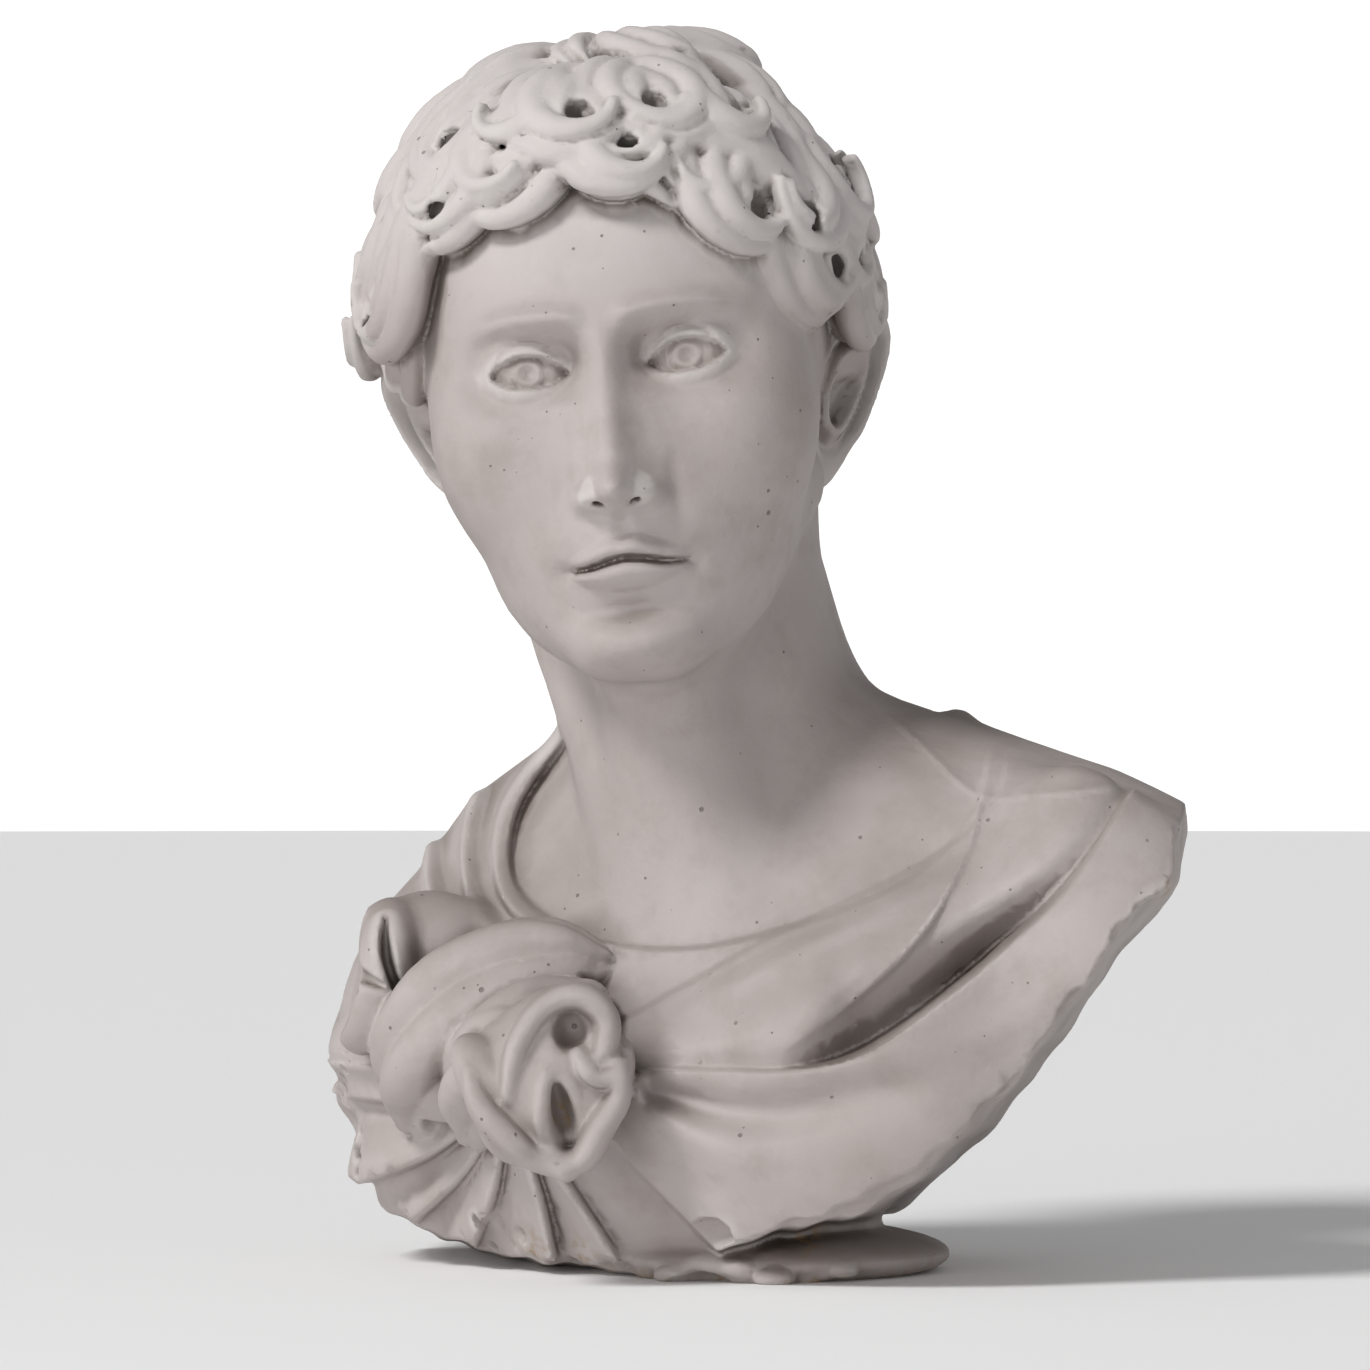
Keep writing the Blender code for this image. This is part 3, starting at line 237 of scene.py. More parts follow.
def beside(points, x, z, count=28):
    """Distance from a line in elevation, positive on its left, and how far along it, from 0 to 1."""
    line = curve_through(points, count)
    best, side, share = np.inf, 0, 0
    n = len(line) - 1
    for i in range(n):
        ax, az = line[i][:2]
        bx, bz = line[i + 1][:2]
        dx, dz = bx - ax, bz - az
        t = np.clip(((x - ax) * dx + (z - az) * dz) / max(dx * dx + dz * dz, 1e-9), 0, 1)
        gx, gz = x - ax - t * dx, z - az - t * dz
        gap = gx * gx + gz * gz
        hand = np.sign(dx * gz - dz * gx)
        near = gap < best
        best = np.where(near, gap, best)
        side = np.where(near, hand, side)
        share = np.where(near, (i + t) / n, share)
    return np.sqrt(best) * side, share


# Torso
def on_torso(across, ahead, z):
    """A point across the torso, ahead of its middle and above ground."""
    c, s = math.cos(TORSO_TURN), math.sin(TORSO_TURN)
    return (TORSO_MIDDLE[0] + across * c + ahead * s, TORSO_MIDDLE[1] + across * s - ahead * c, z)


def ahead_of_torso(x, y):
    c, s = math.cos(TORSO_TURN), math.sin(TORSO_TURN)
    return (x - TORSO_MIDDLE[0]) * s - (y - TORSO_MIDDLE[1]) * c


def build_torso(clay):
    turn = (0, 0, math.degrees(TORSO_TURN))
    clay.add(ellipsoid(on_torso(0, 0, 12), (28, 17, 31), turn), 8)
    clay.add(limb(on_torso(8, -1, 33.4), on_torso(33, 0, 25.4), 9, 9.7), 8)
    clay.add(limb(on_torso(-6, -1, 31), on_torso(-22, -2, 21.8), 9, 10), 8)
    clay.add(limb(on_torso(1, -3, 41.8), on_torso(25, -3, 31.8), 5.8, 8.6), 7)
    clay.add(limb(on_torso(-5, -3, 42.4), on_torso(-19, -3, 31.8), 7, 8.2), 7)
    clay.add(ellipsoid(on_torso(13, 9, 15), (15, 9.6, 14), turn), 7)
    clay.add(ellipsoid(on_torso(-13, 9, 14), (15, 9.6, 13), turn), 7)
    clay.add(ellipsoid(on_torso(34, -1, 17), (10, 11, 19), turn), 7)
    clay.add(ellipsoid(on_torso(-26, 2, 12), (8, 12, 16), turn), 7)
    clay.add(ellipsoid(on_torso(-31, 2, 12.8), (6, 9, 3), turn), 3)


PLEAT_DROP = 0.7


def fold(x, z, points, widths, height, kind="ridge", fade=(0.12, 0.12), drop=PLEAT_DROP):
    """How far a fold stands out. A ridge is round, and a pleat drops off on its left."""
    side, share = beside(points, x, z)
    q = side / mix(widths[0], widths[1], share)
    if kind == "ridge":
        form = np.exp(-q * q)
    else:
        form = np.where(q < 0, smoothstep((q + 1.9) / 1.9), 1 - smoothstep(side / drop))
    ends = smoothstep(share / max(fade[0], 1e-6)) * smoothstep((1 - share) / max(fade[1], 1e-6))
    return height * form * ends


# Lines of the mantle, across and up on the front elevation
NECKLINE = [(23, 42), (21, 36.4), (16, 31.6), (8.4, 28.4), (-1, 26.2), (-9, 27), (-14.5, 30.5),
            (-14.8, 36.5), (-10.4, 43)]
GREAT_HEM = [(-7, 16.9), (1, 17.1), (7, 17.2), (12.5, 18.6), (18, 22.2), (23.2, 26.4), (28.6, 31.8),
             (34, 39.5)]
FOLD_CREASE = [(5, 17.4), (12.8, 22.9), (16.8, 27), (20, 32), (22.4, 38), (23, 43)]
MANTLE_EDGE = [(-16, 14), (-8, 19.4), (-2, 22.9), (5.3, 27.1), (13, 30.7), (19, 34), (23, 37.6),
               (24.5, 43)]
LOWER_HEM = [(-13, 18), (-8.4, 12.4), (-3.6, 7.4), (0.4, 3.4), (4.4, -0.6)]
SOFT_HOLLOW = [(-5, 15.3), (2, 13.9), (9, 14.3), (18, 18), (27, 25)]
KNOT_FOLD = [(-6, 15.6), (-1, 12.2), (4, 9.6), (10, 7.6)]
HEM_FOLD = [(9, 17), (17, 18), (26, 22.5), (34, 31)]


def front_drapery(x, z):
    """How far the mantle stands out from the chest."""
    side = beside(NECKLINE, x, z, 60)[0]
    h = 0.75 * smoothstep(side / 0.5 + 0.5) - 0.2
    # three bands beside the neck
    left = smoothstep((-8 - x) / 4) * smoothstep((z - 25) / 4)
    for away, high in ((1.2, 0.9), (3.9, 1), (7, 0.9)):
        q = (side - away) / 1.25
        h += left * high * np.where(q < 0, smoothstep((q + 1.4) / 1.4), 1 - smoothstep(q / 0.6))

    # the mantle's edge lies thin on the chest and swells below to the great fold
    edge, along = beside(MANTLE_EDGE, x, z, 60)
    below = np.maximum(-edge, 0)
    starts = smoothstep(along / 0.06)
    h += 0.5 * smoothstep(0.5 - edge / 0.45) * starts
    beaded = smoothstep((0.8 - along) / 0.3) * smoothstep((along - 0.22) / 0.2)
    h += 0.45 * bell((below - 1.7) / 0.8) * (edge < 0) * beaded
    hem, share = beside(GREAT_HEM, x, z, 60)
    above = smoothstep(hem / 0.6 + 0.5)
    swell = smoothstep(below / 6) * above
    h += 2.1 * swell
    # the crease where the fold doubles over, and the deep hollow behind the hem
    crease, run = beside(FOLD_CREASE, x, z, 40)
    over = smoothstep(0.5 - crease / 0.5) * above
    h -= 0.45 * over * smoothstep(run / 0.12) * smoothstep((0.95 - run) / 0.45)
    deep = 1 + 4.6 * smoothstep((share - 0.26) / 0.22) * smoothstep((1 - share) / 0.5)
    h -= deep * above * np.exp(-((np.maximum(hem, 0) / (0.9 + 0.48 * deep)) ** 1.6))
    # the lower sheet, highest along its hem
    h += (1 - above) * (1.5 * np.exp(np.minimum(hem, 0) / 6) + 0.25)
    # its soft hollows and the fold that leaves the knot
    h -= fold(x, z, SOFT_HOLLOW, (0.9, 2.8), 1.1, "ridge", (0.04, 0.55))
    h += fold(x, z, KNOT_FOLD, (1, 3), 1.1, "ridge", (0, 0.6))
    h += fold(x, z, HEM_FOLD, (1.2, 2.6), 0.45, "ridge", (0.2, 0.4))
    side = beside(LOWER_HEM, x, z)[0]
    return h - 3.2 * smoothstep(0.5 - side / 0.6) * smoothstep((17.5 - z) / 5)


# Where each pleat under the knot ends, its height and its width
PLEATS = [(-33.5, 14, 2, 3.6), (-28.5, 6.2, 2, 3.4), (-23.2, 3.6, 1.5, 1.5),
          (-18.5, 1.4, 1.7, 2.4), (-11.5, 0, 1.9, 3), (-5.2, -1, 1.4, 2.2)]
PLEAT_ROOT = (-15.5, 14.5)


def under_pleats(x, z):
    h = 0
    for end_x, end_z, high, wide in PLEATS:
        middle = (0.5 * (end_x + PLEAT_ROOT[0]) + 0.7, 0.5 * (end_z + PLEAT_ROOT[1]) - 0.7)
        line = [PLEAT_ROOT, middle, (end_x, end_z)]
        h += fold(x, z, line, (0.8, wide), high, "pleat", (0, 0))
    return h * smoothstep((15.5 - z) / 4) * smoothstep((1.5 - x) / 6)


BACK_NECKLINE = [(-16, 45), (-9, 40.5), (2, 38.5), (13, 40.5), (20, 45)]
# Each sweep behind: where it starts and ends, its sag and its height
BACK_SWEEPS = [(35, 27, 7, 1.3), (29, 15, 9, 1.5), (26, 6, 5, 1), (19, -2, 6, 1.4)]
SOFT_DROP = 2.4


def back_drapery(x, z):
    """A rolled neck edge, and sweeps from one shoulder down to the other."""
    side = beside(BACK_NECKLINE, x, z)[0]
    h = 1 - smoothstep(side / 0.9 + 0.5) + 0.7 * bell((side + 1.3) / 1.3)
    for top, low, sag, high in BACK_SWEEPS:
        sweep = [(33, top), (14, mix(top, low, 0.3) - sag), (-6, mix(top, low, 0.65) - sag), (-26, low)]
        h += fold(x, z, sweep, (3.4, 1.8), high, "pleat", (0.3, 0.35), SOFT_DROP)
    return h


CUT_FLARE = 0.12
CUT_OUTLINE = [(-26.4, 30.5), (-27.4, 21.5), (-31.2, 13.8), (-29.3, 9.2), (-23.6, 4.9), (-16, 2.4),
               (-8, 1.5), (-1, 2), (4.2, 4.2), (13, 6.8), (18.7, 11.4), (25, 18.8), (32.1, 29.2),
               (35, 33), (35.4, 44)]


def build_drapery(clay):
    """Raise the folds, the plainer ones behind."""
    x, y, z = clay.planes()
    ahead = ahead_of_torso(x, y)
    front = front_drapery(x, z) + under_pleats(x, z)
    back = back_drapery(x, z) * smoothstep((z + 4) / 12)
    in_front = smoothstep(ahead / 7).astype(np.float32)[:, :, None]
    behind = smoothstep(-ahead / 7 - 0.3).astype(np.float32)[:, :, None]
    clay.distance -= front.astype(np.float32)[:, None, :] * in_front
    clay.distance -= back.astype(np.float32)[:, None, :] * behind


def cut_outline(clay):
    """Cut the torso to its outline, a little wider towards the back."""
    x, y, z = clay.planes()
    edge = -beside(CUT_OUTLINE, x, z, 90)[0]
    # sawn by hand, the edge wanders
    edge = edge + 0.22 * np.sin(0.9 * x + 0.5 * z) * np.sin(0.7 * z - 0.4 * x)
    edge = edge + 0.1 * np.sin(2.1 * x - 1.3 * z)
    flare = CUT_FLARE * np.clip(20 - ahead_of_torso(x, y), 0, 44)
    gap = edge.astype(np.float32)[:, None, :] - flare.astype(np.float32)[:, :, None]
    clay.distance = blend_max(clay.distance, gap, 0.25)


def build_foot(clay):
    """The low round foot, a dome with a rounded rim."""
    radius = 0.5 * FOOT_DIAMETER / UNIT
    dome = FOOT_DOME / UNIT
    rim = FOOT_RIM_HEIGHT / UNIT
    clay.add(ellipsoid((*FOOT_MIDDLE, rim), (radius, radius, dome - rim)), 1)
    clay.add(limb((*FOOT_MIDDLE, rim), (*FOOT_MIDDLE, 8), 0.6 * radius, 0.6 * radius), 1.5)


# Neck
def build_neck(clay):
    clay.add(limb(on_torso(0.2, -1, 30), on_head(0.012, 0.06, -0.2), 11.4, 11.2), 4)
    clay.add(limb(on_torso(0, -6, 33), on_head(0, 0.2, -0.1), 9.6, 9), 4)
    for s in (-1, 1):
        clay.add(limb(on_head(s * 0.21, 0.09, -0.2), on_torso(s * 2.8, 11.5, 28), 3, 2), 2.6)
    clay.add(limb(on_head(0, -0.2, -0.4), on_torso(0, 9, 29), 4.3, 4.8), 6)


# Head, in shares of its height: eyes at z 0, chin at -0.5, crown at 0.5, face towards -y
def on_head(x, y, z):
    return np.array(HEAD_MIDDLE + HEAD_POSE @ Vector((x * HEAD, y * HEAD, z * HEAD)))


def head_window(clay, low, high):
    """The clay round a box of the head, and its points in head shares."""
    spans = list(zip(low, high))
    corners = [on_head(x, y, z) for x in spans[0] for y in spans[1] for z in spans[2]]
    where, (x, y, z) = clay.window(np.min(corners, axis=0), np.max(corners, axis=0))
    back = np.array(HEAD_POSE.transposed()) / HEAD
    px, py, pz = x - HEAD_MIDDLE[0], y - HEAD_MIDDLE[1], z - HEAD_MIDDLE[2]
    local = [(back[i][0] * px + back[i][1] * py + back[i][2] * pz).astype(np.float32) for i in range(3)]
    return where, local


def press(clay, where, distance, reach):
    """Add a form that was measured in the head's shares."""
    form = (distance * HEAD).astype(np.float32)
    clay.distance[where] = blend_min(clay.distance[where], form, reach)


def head_base(x, y, z):
    def part(form):
        return form[0](x, y, z)

    d = part(ellipsoid((0, 0.035, 0.125), (0.345, 0.4, 0.37)))
    d = blend_min(d, part(ellipsoid((0, -0.14, 0.03), (0.312, 0.272, 0.37))), 0.06)
    d = blend_min(d, part(ellipsoid((0, -0.205, -0.23), (0.242, 0.205, 0.262))), 0.07)
    for s in (-1, 1):
        jaw = limb((s * 0.226, -0.03, -0.215), (s * 0.05, -0.335, -0.43), 0.062, 0.06)
        d = blend_min(d, part(jaw), 0.08)
        d = blend_min(d, part(ellipsoid((s * 0.188, -0.225, -0.11), (0.112, 0.137, 0.15))), 0.07)
    return d


# Each soft bump or hollow, on both sides alike: its height, where it is across and up, its width,
# how tall it is and how blunt. From the eyes to the nose, the mouth, the chin and the cheeks.
FEATURES = [(-0.052, 0.126, 0.006, 0.088, 0.048, 1.3), (-0.03, 0.06, 0.02, 0.03, 0.042, 1),
            (0.03, 0, -0.196, 0.034, 0.03, 1), (0.034, 0.054, -0.204, 0.022, 0.022, 1.2),
            (-0.007, 0.089, -0.18, 0.014, 0.035, 1), (0.022, 0, -0.29, 0.12, 0.075, 1),
            (-0.01, 0.102, -0.316, 0.016, 0.016, 1), (-0.006, 0, -0.247, 0.011, 0.018, 1),
            (0.004, 0.02, -0.249, 0.01, 0.018, 1), (-0.02, 0, -0.383, 0.07, 0.018, 1),
            (0.03, 0, -0.437, 0.07, 0.045, 1), (0.006, 0.185, -0.085, 0.07, 0.05, 1),
            (-0.005, 0.125, -0.08, 0.05, 0.018, 1)]


def face_relief(x, z):
    """How far the features stand out from the head."""
    ax = np.abs(x)
    h = np.zeros(np.broadcast(x, z).shape)
    for high, across, up, wide, tall, power in FEATURES:
        h += high * np.exp(-((((ax - across) / wide) ** 2 + ((z - up) / tall) ** 2) ** power))
    # brow
    brow = 0.074 + 0.014 * np.sin(np.pi * np.clip((ax - 0.02) / 0.2, 0, 1))
    reach = smoothstep((ax - 0.012) / 0.04) * smoothstep((0.25 - ax) / 0.09)
    h += 0.016 * bell((z - brow) / 0.02) * reach
    # nose
    zs = [-0.256, -0.242, -0.23, -0.218, -0.205, -0.188, -0.165, -0.13, -0.08, -0.03, 0.02, 0.07, 0.11]
    hs = [0, 0.006, 0.018, 0.038, 0.058, 0.07, 0.074, 0.066, 0.05, 0.034, 0.019, 0.006, 0]
    ws = [0.03, 0.032, 0.035, 0.039, 0.042, 0.043, 0.04, 0.034, 0.029, 0.028, 0.032, 0.046, 0.06]
    high, wide = np.interp(z, zs, hs), np.interp(z, zs, ws)
    q = ax / wide
    flank = 0.34 * smoothstep((z + 0.225) / 0.09)
    h += high * ((1 - flank) * np.exp(-(q**2.1)) + flank * np.exp(-((ax / (wide * 2.3)) ** 2)))
    # mouth
    half = 0.096
    inside = np.clip(1 - (ax / half) ** 2, 0, 1)
    line = -0.305 + 0.004 * np.cos(ax / half * np.pi * 1.5) - 0.009 * (ax / half) ** 2
    top = -0.268 + 0.006 * bell((ax - 0.024) / 0.018) - 0.028 * (ax / half) ** 2
    low = -0.356 + 0.032 * (ax / half) ** 2
    up = np.clip((z - line) / np.maximum(top - line, 0.006), 0, 1)
    down = np.clip((line - z) / np.maximum(line - low, 0.006), 0, 1)
    h += 0.016 * np.sin(np.pi * up**0.8) * inside**0.6 * (up > 0)
    h += 0.022 * np.sin(np.pi * down**0.8) ** 0.9 * inside**0.6 * (down > 0)
    h -= 0.017 * bell((z - line) / 0.0065) * smoothstep((half + 0.012 - ax) / 0.03)
    return h


EYE = (0.126, -0.3, 0)
EYE_BALL = 0.074
EYE_HALF = 0.063
LID = 0.013


def eye(d, x, y, z, side):
    """Lids over a ball, with iris and pupil cut into it."""
    px, py, pz = (x - side * EYE[0]) * side, y - EYE[1], z - EYE[2]
    away = np.sqrt(px * px + py * py + pz * pz)
    s = np.clip(px / EYE_HALF, -1, 1)
    upper = 0.031 * (1 - np.abs(s) ** 2.4) + 0.003 * s
    lower = -0.022 * (1 - np.abs(s) ** 2.6) + 0.003 * s
    opening = np.maximum(np.maximum(pz - upper, lower - pz), np.abs(px) - EYE_HALF)
    opening = np.where(py > 0, 0.05, opening)
    d = blend_min(d, away - EYE_BALL - LID, 0.016)
    crease = pz - 0.048 * (1 - np.abs(s) ** 2.2) - 0.002
    ends = smoothstep((EYE_HALF - np.abs(px)) / 0.02)
    d = d + 0.005 * bell(crease / 0.0055) * ends * (py < 0)
    d = blend_max(d, -np.maximum(opening, away - 0.14), 0.009)
    iris = np.sqrt(px * px + (pz - 0.003) ** 2)
    cut = 0.004 * bell((iris - 0.029) / 0.0065) + 0.014 * bell(iris / 0.0125)
    return blend_min(d, away - EYE_BALL + np.where(py < 0, cut, 0), 0.006)


def nostril(d, x, y, z, side):
    hole = limb((side * 0.027, -0.462, -0.228), (side * 0.031, -0.442, -0.19), 0.01, 0.008)[0](x, y, z)
    return blend_max(d, -hole, 0.006)


def build_head(clay):
    where, (x, y, z) = head_window(clay, (-0.5, -0.62, -0.75), (0.5, 0.6, 0.6))
    step = 0.0015
    table = face_relief(np.arange(-0.45, 0.45, step)[:, None], np.arange(-0.6, 0.6, step)[None, :])
    # the relief is interpolated in a table
    fx = np.clip((x + 0.45) / step, 0, table.shape[0] - 1.001)
    fz = np.clip((z + 0.6) / step, 0, table.shape[1] - 1.001)
    ix, iz = fx.astype(np.int32), fz.astype(np.int32)
    tx, tz = fx - ix, fz - iz
    table = table.astype(np.float32)
    near = mix(table[ix, iz], table[ix + 1, iz], tx)
    far = mix(table[ix, iz + 1], table[ix + 1, iz + 1], tx)
    d = head_base(x, y + mix(near, far, tz) * smoothstep((-0.02 - y) / 0.15), z)
    for side in (-1, 1):
        d = eye(d, x, y, z, side)
        d = nostril(d, x, y, z, side)
    press(clay, where, d, 2.5)


EAR = (0.314, 0.03, -0.085)
EAR_LEAN = math.radians(46)
EAR_TILT = math.radians(-9)
EAR_SCALE = 1.12
EAR_FLARE = 0.46


def build_ear(clay, side):
    """A leaning plate whose height follows the distance from its outline."""
    middle = (side * (EAR[0] + 0.03), EAR[1] + 0.02, EAR[2])
    low = [middle[i] - (0.13, 0.15, 0.21)[i] for i in range(3)]
    high = [middle[i] + (0.13, 0.15, 0.21)[i] for i in range(3)]
    where, (x, y, z) = head_window(clay, low, high)
    py, pz = (y - EAR[1]) / EAR_SCALE, (z - EAR[2]) / EAR_SCALE
    px = (x - side * EAR[0]) * side / EAR_SCALE - EAR_FLARE * pz
    out = px * math.cos(EAR_LEAN) - py * math.sin(EAR_LEAN)
    back = px * math.sin(EAR_LEAN) + py * math.cos(EAR_LEAN)
    b = back * math.cos(EAR_TILT) - pz * math.sin(EAR_TILT)
    u = back * math.sin(EAR_TILT) + pz * math.cos(EAR_TILT)
    half = 0.066 * (0.9 + 2.2 * np.clip(u + 0.03, -0.12, 0.1))
    inside = half * (1 - np.sqrt(((b - 0.01) / half) ** 2 + (u / 0.132) ** 2 + 1e-6))
    lobe = smoothstep((-0.055 - u) / 0.04)
    behind = smoothstep((b + 0.045) / 0.03)
    hollow = smoothstep((0.035 - u) / 0.03) * smoothstep((u + 0.085) / 0.03)
    height = 0.01 + 0.018 * bell((inside - 0.009) / 0.009) * (1 - lobe) * behind
    height -= 0.012 * bell((inside - 0.022) / 0.007) * (1 - lobe) * behind
    height += 0.01 * bell((inside - 0.034) / 0.008) * (1 - lobe) * behind
    height += 0.004 * lobe - 0.034 * smoothstep((inside - 0.036) / 0.014) * hollow
    tragus = 0.02 * np.exp(-(((b + 0.043) / 0.013) ** 2 + ((u + 0.022) / 0.02) ** 2))
    d = blend_max(-inside, out - height - tragus, 0.01)
    d = blend_max(d, -0.006 - 0.55 * np.clip(inside, 0, 0.05) - out, 0.008) * EAR_SCALE
    press(clay, where, d, 0.5)


# Hair
SKULL = np.array([0.334, 0.412, 0.396])
SKULL_MIDDLE = np.array([-0.003, 0.04, 0.125])
FRINGE_ROLL = 0.054
HAIR_SEED = 11
# A lock that turns further than this is a curl with a hollow heart. Others tuck in their tips.
CURL_BEND = 170
CURL_HEART = 0.42
TIP_TUCK = 0.5
CROWN_LIFT = 0.044
# Waves from the crown: their height, number and length
CROWN_ROWS = [(0.508, 5, 0.24), (0.48, 8, 0.27), (0.425, 11, 0.28)]
CROWN_CLOSERS = 6
# Rows down to the nape: their height and number of locks
NAPE_ROWS = [(0.26, 9), (0.15, 8), (0.04, 7), (-0.07, 6)]
NAPE_SPACING = 21
# Rows behind the ears: height over the hairline, half width and how far out
BACK_ROWS = [(0.1, 0.05, 0.045), (0.19, 0.058, 0.055)]
BACK_LOCKS = 9
SIDE_WAVES = 9
# Each fuller curl over the temples: where it roots, the side it turns to and how far out it is
TEMPLE_CURLS = [(66, 0.255, 1, 0.055), (84, 0.25, -1, 0.05), (80, 0.35, 1, 0.068),
                (96, 0.28, 1, 0.05), (-64, 0.27, -1, 0.09), (-82, 0.26, 1, 0.104),
                (-78, 0.33, -1, 0.078), (-96, 0.28, -1, 0.06)]
# Each lock of the fringe: its azimuth and the side it hooks to
FRINGE_BELOW = [(-70, -1), (-52, 1), (-37, -1), (-24, -1), (-11, 1), (3, -1), (15, 1), (29, -1),
                (44, 1), (60, 1)]
FRINGE_ABOVE = [(-60, -1), (-44, -1), (-29, 1), (-15, -1), (0, 1), (13, -1), (26, 1), (40, 1),
                (56, -1), (72, 1)]


def hairline(azimuth):
    """How low the hair reaches at an azimuth in degrees from the face."""
    turns = [0, 25, 40, 52, 62, 72, 82, 92, 108, 122, 180]
    heights = [0.285, 0.27, 0.235, 0.16, 0.08, 0.06, 0.09, 0.12, 0.11, -0.13, -0.22]
    return np.interp(azimuth, turns, heights)


def build_scalp(clay):
    where, (x, y, z) = head_window(clay, (-0.5, -0.55, -0.4), (0.5, 0.6, 0.6))
    d = ellipsoid(SKULL_MIDDLE, SKULL - 0.002)[0](x, y, z)
    azimuth = np.degrees(np.arctan2(np.abs(x), -(y - SKULL_MIDDLE[1])))
    d = blend_max(d, (hairline(azimuth) + 0.03 - z) * 0.8, 0.02)
    press(clay, where, d, 0.8)


def strand(azimuth, height, heading, bend, length, half, lift, curl, aside):
    """The points and radii of a strand that sets off at a heading from straight down and curls by
    bend degrees, aside from the middle of its lock."""
    rise = (height - SKULL_MIDDLE[2]) / SKULL[2]
    level = math.sqrt(max(0, 1 - rise * rise))
    turn = math.radians(azimuth)
    place = SKULL_MIDDLE + SKULL * np.array([math.sin(turn) * level, -math.cos(turn) * level, rise])
    points, radii = [], []
    steps = 24
    for i in range(steps):
        share = i / (steps - 1)
        normal = (place - SKULL_MIDDLE) / SKULL**2
        normal /= np.linalg.norm(normal)
        down = np.array([0, 0, -1]) + normal * normal[2]
        down /= max(np.linalg.norm(down), 1e-6)
        angle = math.radians(heading + bend * share**curl)
        way = down * math.cos(angle) + np.cross(normal, down) * math.sin(angle)
        root = 0.6 + 0.4 * smoothstep(share / 0.3).item()
        size = half * root * (1 - 0.66 * smoothstep((share - 0.45) / 0.55).item())
        rise_of_lock = lift * (0.2 + 0.8 * math.sin(0.5 * math.pi * share))
        if abs(bend) < CURL_BEND:
            rise_of_lock -= TIP_TUCK * lift * smoothstep((share - 0.7) / 0.3).item()
        spot = place + normal * rise_of_lock + np.cross(normal, way) * aside * size
        points.append(on_head(*spot))
        radii.append(size * HEAD)
        place = place + way * length / steps
        spread = (place - SKULL_MIDDLE) / SKULL
        place = SKULL_MIDDLE + SKULL * spread / np.linalg.norm(spread)
    return points, radii


def add_lock(clay, rng, azimuth, height, heading, bend, length, half, lift=0.03, curl=1.5):
    """A core with three strands over it, which meet at its tip."""
    points, radii = strand(azimuth, height, heading, bend, length, half, lift - 0.3 * half, curl, 0)
    clay.add(rope(points, 0.74 * np.array(radii), flat=0.9, margin=STRAND_MARGIN), 0.25)
    for aside in (-0.68, 0, 0.68):
        reach = length * rng.uniform(0.93, 1)
        out = lift + half * (0.34 - 0.55 * aside * aside + rng.uniform(-0.12, 0.12))
        points, radii = strand(azimuth, height, heading, bend, reach, half, out, curl, aside)
        clay.add(rope(points, rng.uniform(0.42, 0.52) * np.array(radii), margin=STRAND_MARGIN), 0.18)
    if abs(bend) > CURL_BEND:
        heart = np.mean(points[len(points) // 2 :], axis=0)
        clay.cut(ellipsoid(heart, np.full(3, CURL_HEART * half * HEAD)), 0.3)


def swing(rng, headings, bends, side=0):
    """A heading to one side and a bend back to the other."""
    side = side or rng.choice((-1, 1))
    return -side * rng.uniform(*headings), side * rng.uniform(*bends)


